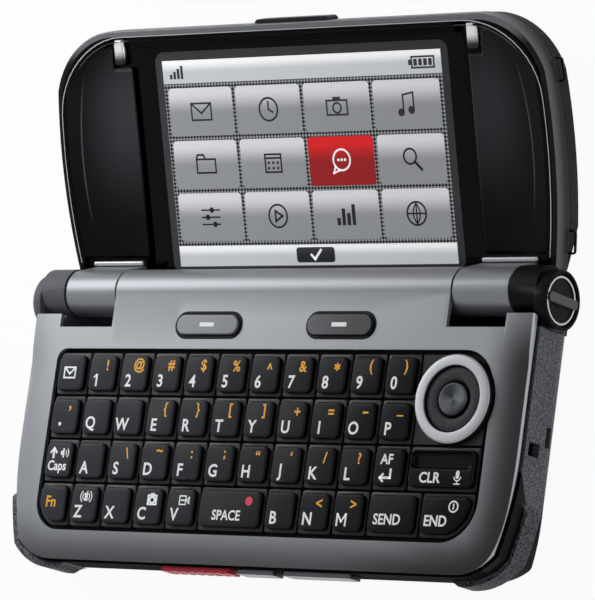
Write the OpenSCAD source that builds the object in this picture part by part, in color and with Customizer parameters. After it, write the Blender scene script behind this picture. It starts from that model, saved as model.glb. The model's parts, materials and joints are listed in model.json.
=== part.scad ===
// Rugged flip phone that opens sideways: a keyboard base and a lid with a wide display.
// X runs along the hinge, Y from the front edge to the hinge, Z up from the underside.

/* [Base] */
// Width of the base across its side walls
base_w = 120.6; // [112:0.2:132]
// Height of the keyboard face above the underside
base_h = 12.8; // [12.6:0.2:15]
// Distance from the hinge axis forward to the front wall
base_reach = 53.8; // [50:0.1:58]
// Radius of the front corners in plan
base_corner_r = 12; // [9:0.5:13]
// Radius of the wide arc on which the sides draw in towards the front
side_r = 66; // [60:1:120]
// Radius of the lower edges of the sides and the front
base_edge_r = 5; // [3:0.2:5.4]
// Wall thickness of the lower shell
wall_t = 1.6; // [1.2:0.1:2]
// Thickness of the floor of the lower shell
floor_t = 1.3; // [1:0.1:1.3]
// Thickness of the keyboard face
panel_t = 0.9; // [0.8:0.1:1]
// How far the face stands in from the side walls
panel_inset = 0.4; // [0.3:0.1:0.8]
// Height of the seal between the face and the shell
gasket_h = 0.6; // [0.4:0.1:0.8]
// Width of the seal
gasket_w = 1.5; // [1:0.1:1.8]
// How far a corner bumper stands out of the walls
bumper_out = 1.2; // [1:0.1:2.4]
// Height of the corner bumpers
bumper_h = 5.4; // [5:0.1:7]
// Depth of the bumpers' top below the side walls' top
bumper_drop = 2; // [0.8:0.1:2]
// Length of a bumper along the side wall and along the front wall
bumper_reach = 15; // [14:0.5:18]

/* [Hinge] */
// Depth of the hinge axis below the keyboard face
axis_depth = 4.4; // [4.3:0.1:4.5]
// Outer radius of the hinge barrel and of the lid's knuckles
barrel_r = 4.6; // [4.3:0.1:4.7]
// Inner radius of the middle barrel
barrel_bore_r = 3.2; // [2.8:0.1:3.3]
// Length of a boss between the knuckle and the side wall
boss_len = 6.8; // [6:0.1:8]
// Length of a lid knuckle
knuckle_len = 12.7; // [11:0.1:12.9]
// Radius of the base's end bosses
boss_r = 4.8; // [4.5:0.1:4.9]
// Radius of the hinge's outer ends
boss_end_r = 5.7; // [5.2:0.1:5.9]
// How far the hinge's outer ends stand out of the side walls
boss_end_out = 1.6; // [1:0.1:2.4]
// Length of a hinge's outer end
boss_end_len = 2.6; // [2:0.1:3]
// Radius of the hinge pins
pin_r = 1.5; // [1.2:0.05:1.7]
// Radius of the hinge cartridge
cartridge_r = 3; // [2.6:0.1:3.2]
// Length of the hinge cartridge
cartridge_len = 8; // [5:0.5:9]
// Width of the clearance slot in front of a knuckle
knuckle_slot = 3; // [2:0.1:3.4]
// Opening angle of the lid as stored
open_angle = 159.1; // [150:0.1:162]

/* [Keyboard] */
// Distance of the keyboard's sides from the side walls
keys_side = 8.3; // [8:0.1:9.5]
// Distance of the keyboard's front edge from the front wall
keys_front = 6.72; // [6.4:0.02:8]
// Shift of the keyboard from the middle of the base
keys_x = -0.3; // [-0.6:0.1:0.4]
// Distance of the keyboard's back edge in front of the hinge axis
keys_back = 12.6; // [12.3:0.1:13]
// Gap between two keys
key_gap = 0.42; // [0.3:0.02:0.6]
// Depth of a key's flange below the face
key_drop = 0.3; // [0.1:0.05:0.4]
// Thickness of a key's flange
key_t = 1.2; // [1:0.05:1.3]
// Height of a key's cap above its flange
cap_h = 1.1; // [0.8:0.05:1.4]
// How far a cap stands in from its flange at the sides
cap_side = 0.45; // [0.3:0.05:0.7]
// How far a cap stands in from its flange at the front and back
cap_end = 0.6; // [0.4:0.05:0.9]
// Corner radius of a cap
cap_r = 1.2; // [0.6:0.1:1.8]
// Radius of the stem below a key
stem_r = 1.5; // [1:0.1:2]
// Travel of a key
key_travel = 0.4; // [0.2:0.05:0.45]
// Margin between the keys and the edge of their opening
keys_margin = 0.7; // [0.5:0.05:0.9]
// Gap between the navigation ring and the keys below it
nav_gap = 0.26; // [0.2:0.02:0.6]
// Width of the navigation ring
ring_w = 2.06; // [1.6:0.02:2.4]
// Height of the navigation ring above the face
ring_rise = 1.1; // [0.8:0.05:1.3]
// Radius of the middle key
select_r = 3.22; // [2.8:0.02:3.5]
// Length of a soft key
soft_len = 15; // [13:0.2:17]
// Width of a soft key
soft_w = 3.9; // [3.4:0.1:4.3]
// Distance of a soft key from the middle
soft_x = 15.9; // [14:0.1:18]
// Distance of the soft keys in front of the hinge axis
soft_back = 7.3; // [7.2:0.1:7.6]
// Height of a soft key above the face
soft_rise = 0.7; // [0.4:0.05:1.1]

/* [Front keys] */
// Height of the front keys
edge_key_h = 4; // [3.2:0.1:4.2]
// How far a front key stands out of the front wall
edge_key_out = 0.9; // [0.6:0.1:1.4]
// Length of the red push key
push_len = 17; // [14:0.2:18]
// Place of the red push key along the front
push_x = -13; // [-14:0.2:-12.6]
// Length of the camera key
camera_key_len = 9; // [7:0.2:9.4]
// Place of the camera key along the front
camera_key_x = 1.4; // [1.2:0.2:2]
// Length of the volume rocker
rocker_len = 16; // [13:0.2:17]
// Place of the volume rocker along the front
rocker_x = 16; // [15.6:0.2:18]
// Travel of a front key
edge_travel = 0.4; // [0.2:0.05:0.5]

/* [Inside the base] */
// Margin of the battery inside its cover at the sides
battery_side = 3; // [2.5:0.1:6]
// Margin of the battery inside its cover at the front and back
battery_end = 2.4; // [2.2:0.1:4]
// Room between the battery and the shield cans above it
battery_room = 0.6; // [0.5:0.1:1.4]
// Width of the battery cover
cover_w = 62; // [60:0.5:63]
// Distance of the battery cover from the front wall
cover_front = 5; // [4.8:0.1:7]
// Distance of the battery cover from the hinge axis
cover_back = 8.1; // [8:0.1:10]
// Thickness of the battery cover
cover_t = 1.2; // [1:0.1:1.25]
// Radius of the battery lock
lock_r = 3.2; // [2.6:0.1:3.4]
// Thickness of the main board
board_t = 1; // [0.8:0.1:1]
// Height of the shield cans
can_h = 1.4; // [1:0.1:1.4]
// Radius of the loudspeaker
speaker_r = 6; // [5:0.2:6.4]
// Radius of the vibration motor
motor_r = 1.9; // [1.6:0.1:2]
// Radius of the camera's window
lens_r = 3.4; // [3:0.1:3.6]
// Width of the charging socket
socket_w = 7.6; // [7:0.1:8]
// Height of the charging socket
socket_h = 2.8; // [2.4:0.1:3]
// Width of the port cover
port_w = 11; // [10:0.2:12]
// Height of the port cover
port_h = 5; // [4.4:0.1:5.2]
// Thickness of the port cover
port_t = 1; // [0.8:0.1:1.4]
// Width of the lanyard slot
lanyard_w = 2.6; // [2.2:0.1:3.2]
// Height of the lanyard slot
lanyard_h = 3.4; // [2.4:0.1:3.6]
// Length of the slit where the strap comes out again
slit_len = 3.8; // [3:0.1:4.4]
// Height of that slit
slit_h = 1.6; // [1.2:0.1:2]
// Radius of the screw heads
head_r = 1.7; // [1.5:0.1:1.8]
// Radius of the screw shanks
shank_r = 0.8; // [0.6:0.05:0.9]

/* [Lid] */
// How far the lid's sides stand in from the base's
lid_inset = 1; // [0.9:0.1:1.6]
// How far the shut lid stops short of the base's front wall
lid_short = 2.8; // [2.4:0.1:3.8]
// Distance from the hinge axis to the lid's near edge
lid_near = 1.5; // [1.3:0.1:1.8]
// Radius of the lid's free corners
lid_corner_r = 16; // [13:0.5:17]
// Radius of the lid's bowed sides
lid_side_r = 130; // [110:5:200]
// Radius of the lid's corners at the hinge
lid_near_r = 5; // [3:0.5:5.5]
// Depth of the lid's rim from the hinge axis
lid_front = 5; // [4.95:0.05:5.1]
// Depth of the display from the hinge axis
lid_plane = 7.8; // [7.7:0.1:8]
// Thickness of the display's window
window_t = 0.9; // [0.7:0.05:1]
// How far the window's sides stand in from the middle barrel's ends
window_inset = 0.2; // [0:0.1:1.4]
// Distance of the window from the lid's free edge
window_end = 3.4; // [3:0.1:4]
// Distance from the hinge axis to the window's near edge
window_near = 3.2; // [3.2:0.1:3.4]
// Thickness of the display
display_t = 1.5; // [1.2:0.1:1.5]
// Margin of the display inside the window
display_margin = 3.6; // [3:0.1:5]
// Width of the lid frame's rim
rim_w = 1.3; // [1.2:0.1:1.6]
// Thickness of the outer shell of the lid
lid_shell_t = 1.2; // [1:0.1:1.4]
// Depth of the joint between the lid's frame and its outer shell
lid_split = 9.2; // [9:0.1:9.3]
// Depth of the lid's outer face from the hinge axis
lid_back = 12.8; // [12.8:0.1:13.6]
// Depth of the gloss band round the window below the lid's rim
band_drop = 0.7; // [0.6:0.05:0.8]
// Depth of the wings below the lid's rim
wing_depth = 1.4; // [1.2:0.1:1.6]
// Width of the thumb lip
lip_w = 18; // [14:0.2:22]
// How far the thumb lip stands out of the lid's free edge
lip_out = 0.8; // [0.6:0.1:1.4]
// Thickness of the thumb lip
lip_t = 3; // [2:0.1:3.2]
// Length of a guard loop
loop_len = 4.6; // [4:0.2:6]
// How far a guard loop stands out of the lid's side
loop_out = 1.5; // [1.2:0.1:1.8]
// Width of the outer window
outer_w = 26; // [20:0.5:30]
// Height of the outer window
outer_h = 16; // [12:0.5:18]

/* [Clearances] */
// Gap round a moving piece
gap = 0.2; // [0.15:0.05:0.25]
// Running clearance of a shaft in its bore
running = 0.05; // [0.02:0.01:0.08]
// Gap round a piece seated in another
seat = 0.05; // [0.02:0.01:0.08]
// End gap between the lid's knuckles and the base
knuckle_gap = 0.3; // [0.25:0.05:0.4]

/* [Hidden] */
$fn = 48;
wide_facets = 720;

// Places of the base
hinge_y = 25;
axis_z = base_h - axis_depth;
front_y = hinge_y - base_reach;
draw_y = front_y + 23.8;
side_draw = 6;
half_w = base_w / 2;
panel_z = base_h - panel_t;
wall_top = panel_z - gasket_h;
shell_back = hinge_y - boss_r - gap;
boss_in = half_w - boss_len;
knuckle_out = boss_in - knuckle_gap;
knuckle_in = knuckle_out - knuckle_len;
barrel_half = knuckle_in - knuckle_gap;
boss_end_x = half_w + boss_end_out;
boss_split = boss_end_x - boss_end_len;
slot_front = hinge_y - barrel_r - knuckle_slot;
boss_end_y = hinge_y - 1.6;
boss_end_z = axis_z - 0.8;
end_cap_r = boss_end_r - 0.8;
cap_recess = 1.2;
cap_face = boss_end_x - cap_recess / 2;
coin_rise = 0.3;
coin_turn = 90;
barrel_end = 2;
pin_end = boss_split - 1;
over = 1;
root = 0.2;

// Levels of the keys and of the boards below them
flange_top = base_h - key_drop;
flange_z = flange_top - key_t;
press_room = 0.1;
frame_top = flange_z - key_travel - press_room;
frame_t = 0.8;
frame_z = frame_top - frame_t;
stem_room = 0.15;
dome_t = 0.2;
board_room = 0.6;
board_top = frame_z - board_room - dome_t;
board_z = board_top - board_t;
stem_z = board_top + dome_t + key_travel + stem_room - press_room;
can_z = board_z - can_h;
battery_z = cover_t + gap;
battery_t = can_z - battery_z - battery_room;

// Places of the keyboard
columns = 13;
rows = 4;
pitch_x = (base_w - 2 * keys_side) / columns;
pitch_y = (base_reach - keys_back - keys_front) / rows;
nav_r = pitch_y - nav_gap;
ring_bore_r = nav_r - ring_w;
grid_x = keys_x - columns * pitch_x / 2;
grid_y = hinge_y - keys_back;
nav_x = grid_x + 11 * pitch_x + key_gap / 2 + nav_r;
nav_y = grid_y - pitch_y;
soft_y = hinge_y - soft_back;
soft_stem_y = soft_y - 1;
soft_stem_r = 0.9;
edge_key_z = wall_top - edge_key_h - 0.6;
edge_flange_t = 0.8;
edge_room = 2 * gap;
edge_flange_y = front_y + wall_t + edge_room;
board_half = half_w - wall_t - 6.4;
board_front = edge_flange_y + edge_flange_t + edge_travel + press_room;
board_back = slot_front - wall_t - gap;
tab_half = barrel_half - wall_t - gap;
tab_back = shell_back - wall_t - gap;
post_x = half_w - wall_t - 3.5;
post_r = 2.4;
stud_r = 1.5;
post_ys = [front_y + 12.8, hinge_y - 13];

// Places inside the base, beside the battery
side_x = (cover_w / 2 + post_x) / 2 + 1.05;
bay_wall = 1;
bay_room = 0.5;
cover_d = base_reach - cover_front - cover_back;
battery_w = cover_w - 2 * battery_side;
battery_d = cover_d - 2 * battery_end;
bay_y = front_y + cover_front + cover_d / 2;
cover_r = 1;
lock_x = cover_w / 2 - 7;
lock_y = bay_y;
port_room = 2.8;
port_y = front_y + bumper_reach + port_room + port_w / 2;
port_z = wall_top - 5.4;
lanyard_y = front_y + bumper_reach + 9.3;
lanyard_z = wall_top - 2.7;
slit_y = lanyard_y + 3;
slit_z = wall_top - 6.7;
camera_y = front_y + 17;
speaker_y = (front_y + shell_back) / 2 + 4.4;
speaker_h = 3.2;
flex_x = -barrel_half + 8.2;
flex_w = 8;
flex_t = 0.2;
flex_roll_r = barrel_bore_r - 3 * gap;
motor_x = side_x - 5;
motor_y = hinge_y - 16;
motor_z = floor_t + motor_r + 0.6;
motor_len = 6;
motor_shaft_r = 0.4;
weight_len = 2.4;
weight_gap = 0.3;
screw_recess = 0.3;
head_t = 0.8;

// Places of the lid, in its own frame: Y up the lid, Z out of its inner face, hinge axis at the origin
lid_half = half_w - lid_inset;
lid_reach = base_reach - lid_short;
lean = 180 - open_angle;
lid_mid = (lid_near + lid_reach) / 2;
lid_board_t = 0.8;
window_half = barrel_half - window_inset;
window_far = lid_reach - window_end;
arm_near = -0.5;
arm_far = 4.6;
arm_depth = 8;
bezel_depth = 7.6;
foot_room = 0.15;
foot_wall = 0.8;
cover_inset = 0.4;
rim_step = 0.2;
band_rim = 0.8;
wing_near = arm_far + 1.6;
wing_out = lid_half - rim_w - band_rim;
wing_lean = 0.4;
window_r = 0.8;
insert_x = window_half + 1.2;
insert_y = window_far - 3.4;
insert_w = 2.6;
insert_len = 5.2;
insert_room = 0.5;
notch_floor = bezel_depth - 0.6;
screw_lid_x = lid_half - 7;
screw_lid_ys = [lid_near + 11.5, lid_reach - 8];
loop_ys = [lid_near + 6.2, lid_reach - 11.4];
bow_x = lid_half - lid_side_r;
ear_r = 4.4;
ear_x = -screw_lid_x + 10;
ear_y = lid_reach - 12;

// Rectangle with its own radius at each corner, clockwise from the back left
module soft_rect(x0, x1, y0, y1, radii) {
    difference() {
        translate([x0, y0]) square([x1 - x0, y1 - y0]);
        soft_corner(x0, y1, 1, -1, radii[0]);
        soft_corner(x1, y1, -1, -1, radii[1]);
        soft_corner(x1, y0, -1, 1, radii[2]);
        soft_corner(x0, y0, 1, 1, radii[3]);
    }
}

// Waste at a corner, outside its arc; dx and dy point into the shape
module soft_corner(x, y, dx, dy, r) {
    spill = 1;
    difference() {
        translate([x + dx * (r - spill) / 2, y + dy * (r - spill) / 2]) square(r + spill, center = true);
        translate([x + dx * r, y + dy * r]) circle(r);
    }
}

// Upright block with rounded corners, centred on x and y
module block(x, y, z, w, d, h, r) {
    translate([x, y, z]) linear_extrude(h) soft_rect(-w / 2, w / 2, -d / 2, d / 2, [r, r, r, r]);
}

// Box from one corner to the other
module box(low, high) {
    translate(low) cube(high - low);
}

// Round bar along X
module bar(x0, x1, y, z, r) {
    translate([x0, y, z]) rotate([0, 90, 0]) cylinder(r = r, h = x1 - x0);
}

// Both halves of a pair, mirrored about the middle
module both() {
    children();
    mirror([1, 0, 0]) children();
}

// Places its children in the opened lid
module in_lid() {
    translate([0, hinge_y, axis_z]) rotate([lean, 0, 0]) children();
}

// Plan of the base, drawn in from its walls
module base_plan(inset, back) {
    r = base_corner_r - inset;
    difference() {
        soft_rect(-half_w + inset, half_w - inset, front_y + inset, back, [0.5, 0.5, r, r]);
        for (s = [-1, 1]) side_waste(s, inset);
    }
}

// Waste beside the front half of a side, outside its wide arc
module side_waste(s, inset) {
    reach = base_reach;
    difference() {
        translate([s * (half_w - side_draw) - (s < 0 ? reach : 0), draw_y - reach]) square(reach);
        translate([s * (half_w - side_r), draw_y]) circle(side_r - inset, $fn = wide_facets);
    }
}

// Body of the base with rounded lower edges, drawn in from its walls
module base_form(inset, bottom, top, back) {
    r = base_edge_r;
    span = 2 * base_w;
    intersection() {
        translate([0, 0, bottom]) linear_extrude(top - bottom) base_plan(inset, back);
        rotate([90, 0, 0]) linear_extrude(span, center = true)
            soft_rect(-half_w + inset, half_w - inset, bottom, top + over, [0.5, 0.5, r, r]);
        rotate([90, 0, 90]) linear_extrude(span, center = true)
            soft_rect(front_y + inset, back + over, bottom, top + over, [0.5, 0.5, 0.5, r]);
    }
}

// Opening for the keys, grown by a margin
module keys_plan(grow) {
    m = keys_margin + grow;
    soft_rect(grid_x - m, grid_x + columns * pitch_x + m, grid_y - rows * pitch_y - m, grid_y + m,
        [2.4 + grow, 7 + grow, 8 + grow, 6 + grow]);
    translate([nav_x, nav_y]) circle(nav_r + m);
}

// One key: flange, raised cap and stem, over the columns from c0 to c1
module key(c0, c1, row) {
    x0 = grid_x + c0 * pitch_x + key_gap / 2;
    x1 = grid_x + c1 * pitch_x - key_gap / 2;
    y1 = grid_y - row * pitch_y - key_gap / 2;
    y0 = y1 - pitch_y + key_gap;
    edge_r = 0.5;
    translate([0, 0, flange_z]) linear_extrude(key_t) intersection() {
        soft_rect(x0, x1, y0, y1, [edge_r, edge_r, edge_r, edge_r]);
        keys_plan(-keys_margin);
    }
    translate([0, 0, flange_top]) linear_extrude(cap_h) intersection() {
        soft_rect(x0 + cap_side, x1 - cap_side, y0 + cap_end, y1 - cap_end, [cap_r, cap_r, cap_r, cap_r]);
        keys_plan(-keys_margin - cap_end);
    }
    translate([(x0 + x1) / 2, (y0 + y1) / 2, stem_z]) cylinder(r = stem_r, h = flange_z - stem_z + key_t / 2);
}

// A run of equal keys, one column each
module key_run(first, last, row) {
    for (c = [first : last - 1]) key(c, c + 1, row);
}

// Stem holes of every key, for the frame
module stem_holes() {
    wide = [[2, 11, 13], [3, 5, 7], [3, 10, 11.5], [3, 11.5, 13]];
    single = [for (row = [0 : rows - 1], c = [0 : 10])
        if (row < 3 || c < 5 || (c > 6 && c < 10)) [row, c, c + 1]];
    for (k = concat(single, wide))
        translate([grid_x + (k[1] + k[2]) * pitch_x / 2, grid_y - (k[0] + 0.5) * pitch_y, frame_z - over])
            cylinder(r = stem_r + gap, h = frame_t + 2 * over);
}

// What a bowed side of the lid leaves off, drawn in from its edge
module lid_waste(s, inset) {
    difference() {
        translate([s * (lid_half - side_draw) - (s < 0 ? base_w : 0), lid_mid - base_w / 2]) square(base_w);
        translate([s * bow_x, lid_mid]) circle(lid_side_r - inset, $fn = wide_facets);
    }
}

// Lid outline, drawn in from its edge
module lid_plan(inset) {
    far_r = lid_corner_r - inset;
    near_r = lid_near_r - inset;
    difference() {
        soft_rect(-lid_half + inset, lid_half - inset, lid_near + inset, lid_reach - inset,
            [far_r, far_r, near_r, near_r]);
        lid_waste(-1, inset);
        lid_waste(1, inset);
    }
}

// Slice of the lid between two depths
module lid_slice(inset, shallow, deep) {
    translate([0, 0, -deep]) linear_extrude(deep - shallow) lid_plan(inset);
}

// Space below the slope that lets the opened lid lie on a table, offset into the lid
module lid_foot(inset) {
    rotate([-lean, 0, 0]) translate([0, 0, foot_room + inset - axis_z - base_w])
        box([-base_w, -base_w, 0], [base_w, base_w, base_w]);
}

// Spaces that the lid's arms and knuckles take out of its inner face
module arm_space(room) {
    both() box([knuckle_in - room, -barrel_r - over, -lid_split - over],
        [knuckle_out + room, arm_far + room, over]);
}

module base_housing() {
    color("#26282b") difference() {
        union() {
            difference() {
                union() {
                    base_form(0, 0, wall_top, shell_back);
                    barrel_shelf();
                    both() box([barrel_half - wall_t, shell_back - wall_t, 0],
                        [boss_in + 3 * wall_t, hinge_y - 1, floor_t]);
                }
                base_form(wall_t, floor_t, wall_top + over, shell_back - wall_t);
                block(0, bay_y, -over, cover_w + 2 * gap, cover_d + 2 * gap, floor_t + 2 * over, cover_r + gap);
            }
            battery_bay();
            both() boss();
            both() box([barrel_half - wall_t, slot_front - wall_t, floor_t - root],
                [boss_in + wall_t, shell_back, wall_top]);
            for (s = [-1, 1], y = post_ys) translate([s * post_x, y, floor_t - root])
                cylinder(r = post_r, h = board_top - floor_t + root);
        }
        boss_bores();
        knuckle_pockets();
        bar(-barrel_half - knuckle_gap, barrel_half + knuckle_gap, hinge_y, axis_z, barrel_r + seat);
        front_key_holes();
        for (s = [-1, 1], y = post_ys) screw_hole(s * post_x, y);
        translate([side_x, camera_y, -over]) cylinder(r = lens_r + seat, h = floor_t + 2 * over);
        speaker_holes();
        box([-half_w - over, port_y - socket_w / 2 - gap, port_z - socket_h / 2 - gap],
            [-half_w + wall_t + over, port_y + socket_w / 2 + gap, port_z + socket_h / 2 + gap]);
        lanyard_slot();
        soft_room();
        flex_slot();
    }
}

// Curved shelf under the middle barrel
module barrel_shelf() {
    edge = 3;
    rotate([90, 0, 90]) linear_extrude(2 * barrel_half, center = true)
        soft_rect(shell_back - wall_t, hinge_y - 0.4, 0, axis_z - 1, [0.5, 0.5, edge, 0.5]);
}

// Walls round the battery, carried up to its top
module battery_bay() {
    w = battery_w + 2 * bay_room;
    d = battery_d + 2 * bay_room;
    translate([0, bay_y, floor_t - root]) linear_extrude(battery_z + battery_t - floor_t) difference() {
        square([cover_w + 2 * bay_wall + 2 * gap, cover_d + 2 * bay_wall + 2 * gap], center = true);
        square([cover_w + 2 * gap, cover_d + 2 * gap], center = true);
    }
    translate([0, bay_y, battery_z]) linear_extrude(battery_t / 2) difference() {
        square([cover_w + bay_wall + 2 * gap, cover_d + bay_wall + 2 * gap], center = true);
        square([w, d], center = true);
    }
}

// Black boss at an end of the hinge, with its neck down to the side wall
module boss() {
    bar(boss_in, boss_split + root, hinge_y, axis_z, boss_r);
    bar(boss_split, boss_end_x, boss_end_y, boss_end_z, boss_end_r);
    neck_edge = 2;
    neck_z = 3.4;
    neck_in = 0.6;
    translate([boss_in, 0, 0]) rotate([90, 0, 90]) linear_extrude(half_w - neck_in - boss_in)
        soft_rect(shell_back - 2 * wall_t, hinge_y + 0.5, neck_z, axis_z, [0.5, 0.5, neck_edge, neck_edge]);
}

// Blind bores for the hinge pins, and the recess of the end cap on the right
module boss_bores() {
    both() bar(boss_in - over, pin_end, hinge_y, axis_z, pin_r + seat);
    bar(boss_end_x - cap_recess, boss_end_x + over, boss_end_y, boss_end_z, end_cap_r + seat);
}

// Rooms for the lid's knuckles and arms, open to the back
module knuckle_pockets() {
    both() box([barrel_half, slot_front, floor_t], [boss_in, hinge_y + 3 * barrel_r, base_h + over]);
}

module front_key_holes() {
    for (k = [[push_x, push_len], [camera_key_x, camera_key_len], [rocker_x, rocker_len]])
        box([k[0] - k[1] / 2 - gap, front_y - over, edge_key_z - gap],
            [k[0] + k[1] / 2 + gap, front_y + wall_t + over, edge_key_z + edge_key_h + gap]);
}

module screw_hole(x, y) {
    translate([x, y, -over]) cylinder(r = shank_r + seat, h = base_h);
    translate([x, y, -over]) cylinder(r = head_r + seat, h = over + screw_recess + head_t);
}

module speaker_holes() {
    for (a = [0 : 60 : 300])
        translate([-side_x + speaker_r / 2 * cos(a), speaker_y + speaker_r / 2 * sin(a), -over])
            cylinder(r = 0.6, h = floor_t + 2 * over);
}

// Hole and slit in the right wall, with the wall between them as the bar for a strap
module lanyard_slot() {
    box([half_w - 2 * wall_t, lanyard_y - lanyard_w / 2, lanyard_z - lanyard_h / 2],
        [half_w + over, lanyard_y + lanyard_w / 2, lanyard_z + lanyard_h / 2]);
    box([half_w - 2 * wall_t, slit_y - slit_len / 2, slit_z - slit_h / 2],
        [half_w + over, slit_y + slit_len / 2, slit_z + slit_h / 2]);
}

// Room above the rear wall for the soft keys' flanges
module soft_room() {
    box([-tab_half, shell_back - wall_t - over, wall_top - key_travel - 2 * press_room],
        [tab_half, shell_back + over, wall_top + over]);
}

// Slit for the flat cable between the main board and the barrel
module flex_slot() {
    box([flex_x - flex_w / 2 - gap, shell_back - 3 * wall_t, board_top - gap],
        [flex_x + flex_w / 2 + gap, hinge_y, board_top + flex_t + gap]);
}

module base_panel() {
    color("#6f7378") difference() {
        union() {
            translate([0, 0, panel_z]) linear_extrude(panel_t) difference() {
                base_plan(panel_inset, shell_back);
                keys_plan(0);
                both() translate([barrel_half, slot_front]) square([boss_in - barrel_half, base_reach]);
            }
            box([-barrel_half, shell_back - over, panel_z], [barrel_half, hinge_y, base_h]);
            bar(-barrel_half, barrel_half, hinge_y, axis_z, barrel_r);
            for (s = [-1, 1], y = post_ys)
                translate([s * post_x, y, board_top]) cylinder(r = stud_r, h = panel_z - board_top + root);
        }
        barrel_hollow();
        both() bar(boss_split - seat, boss_end_x, boss_end_y, boss_end_z, boss_end_r + seat);
        for (s = [-1, 1])
            block(s * soft_x, soft_y, panel_z - over, soft_len + 2 * gap, soft_w + 2 * gap, panel_t + 2 * over,
                soft_w / 2);
        for (s = [-1, 1], y = post_ys)
            translate([s * post_x, y, board_top - over])
                cylinder(r = shank_r + seat, h = panel_z - board_top + over);
        flex_slot();
    }
}

// Hollow of the middle barrel, with an end wall for each hinge pin
module barrel_hollow() {
    bar(-barrel_half + barrel_end, barrel_half - barrel_end, hinge_y, axis_z, barrel_bore_r);
    bar(-barrel_half - over, barrel_half + over, hinge_y, axis_z, pin_r + seat);
}

module panel_gasket() {
    color("#0c0d0e") translate([0, 0, wall_top]) linear_extrude(gasket_h) difference() {
        base_plan(panel_inset + root, slot_front);
        base_plan(panel_inset + root + gasket_w, slot_front + over);
        for (s = [-1, 1], y = post_ys) translate([s * post_x, y]) circle(stud_r + seat);
    }
}

module corner_bumpers() {
    color("#1b1c1e") both() translate([0, 0, wall_top - bumper_drop - bumper_h])
        linear_extrude(bumper_h) intersection() {
            difference() {
                base_plan(-bumper_out, shell_back);
                base_plan(-seat, shell_back + over);
            }
            translate([half_w - bumper_reach, front_y - 2 * bumper_out])
                square([bumper_reach + 2 * bumper_out, bumper_reach + 2 * bumper_out]);
        }
}

module battery() {
    color("#2f3338") block(0, bay_y, battery_z, battery_w, battery_d, battery_t, 1.5);
}

module battery_contacts() {
    contact_w = 1.6;
    contact_h = 3;
    color("#c9a24a") for (x = [-4, 0, 4])
        box([x - contact_w / 2, bay_y + battery_d / 2 + seat, board_z - contact_h],
            [x + contact_w / 2, bay_y + battery_d / 2 + bay_room - seat, board_z]);
}

module battery_cover() {
    color("#1d1e20") difference() {
        block(0, bay_y, 0, cover_w, cover_d, cover_t, cover_r);
        translate([lock_x, lock_y, -over]) cylinder(r = lock_r + running, h = cover_t + 2 * over);
    }
}

// Quarter-turn disc with a coin slot
module battery_lock() {
    slot_w = 0.9;
    slot_d = 0.6;
    sunk = 0.1;
    color("#4a4c50") translate([lock_x, lock_y, 0]) difference() {
        translate([0, 0, sunk]) cylinder(r = lock_r, h = cover_t - sunk);
        box([-lock_r + slot_w, -slot_w / 2, -over], [lock_r - slot_w, slot_w / 2, slot_d]);
    }
}

module main_board() {
    color("#1f5a3c") translate([0, 0, board_z]) linear_extrude(board_t) {
        soft_rect(-board_half, board_half, board_front, board_back, [2, 2, 2, 2]);
        soft_rect(-tab_half, tab_half, board_front + 2, tab_back, [1, 1, 1, 1]);
    }
}

module shield_cans() {
    color("#b8babc") {
        box([-board_half + 4, board_front + 2, can_z], [-board_half + 20, board_front + 18, board_z]);
        box([board_half - 18, board_back - 14, can_z], [board_half - 2, board_back - 2, board_z]);
        box([-12, board_front + 1, can_z], [12, board_front + 6, board_z]);
    }
}

// Sheet of snap domes on the board, drawn pressed flat
module dome_sheet() {
    color("#c8c2a8") translate([0, 0, board_top]) linear_extrude(dome_t) {
        soft_rect(grid_x + key_gap, grid_x + columns * pitch_x - key_gap, grid_y - rows * pitch_y + key_gap,
            board_back - gap, [1, 1, 5, 5]);
        soft_rect(-soft_x - soft_len / 2, soft_x + soft_len / 2, grid_y - 1, tab_back - gap, [1, 1, 1, 1]);
    }
}

// Black frame below the keys that guides their stems
module key_frame() {
    frame_lap = 0.6;
    color("#101113") difference() {
        union() {
            translate([0, 0, frame_z]) linear_extrude(frame_t) keys_plan(frame_lap);
            translate([0, 0, frame_top - root]) linear_extrude(panel_z - frame_top + root) difference() {
                keys_plan(frame_lap);
                keys_plan(seat);
            }
        }
        stem_holes();
        translate([nav_x, nav_y, frame_z - over]) cylinder(r = stem_r + gap, h = frame_t + 2 * over);
    }
}

module message_key() { color("#1a1b1d") key(0, 1, 0); }
module period_key() { color("#1a1b1d") key(0, 1, 1); }
module caps_key() { color("#1a1b1d") key(0, 1, 2); }
module function_key() { color("#1a1b1d") key(0, 1, 3); }
module enter_key() { color("#1a1b1d") key(10, 11, 2); }
module clear_key() { color("#1a1b1d") key(11, 13, 2); }
module space_key() { color("#1a1b1d") key(5, 7, 3); }
module send_key() { color("#1a1b1d") key(10, 11.5, 3); }
module end_key() { color("#1a1b1d") key(11.5, 13, 3); }
module number_keys() { color("#1a1b1d") key_run(1, 11, 0); }
module upper_letter_keys() { color("#1a1b1d") key_run(1, 11, 1); }
module home_letter_keys() { color("#1a1b1d") key_run(1, 10, 2); }
module lower_letter_keys() {
    color("#1a1b1d") {
        key_run(1, 5, 3);
        key_run(7, 10, 3);
    }
}

// Upright ring with its foot just clear of the key frame
module ring(r_out, r_in, z0, z1) {
    translate([nav_x, nav_y, z0]) difference() {
        cylinder(r = r_out, h = z1 - z0);
        translate([0, 0, -over]) cylinder(r = r_in, h = z1 - z0 + 2 * over);
    }
}

module nav_ring() {
    color("#c4c7ca") ring(nav_r, ring_bore_r, flange_z, base_h + ring_rise);
}

module nav_pad() {
    color("#3a3c40") ring(ring_bore_r - gap, select_r + 1.5 * gap, flange_z, base_h + ring_rise - 0.5);
}

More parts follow.
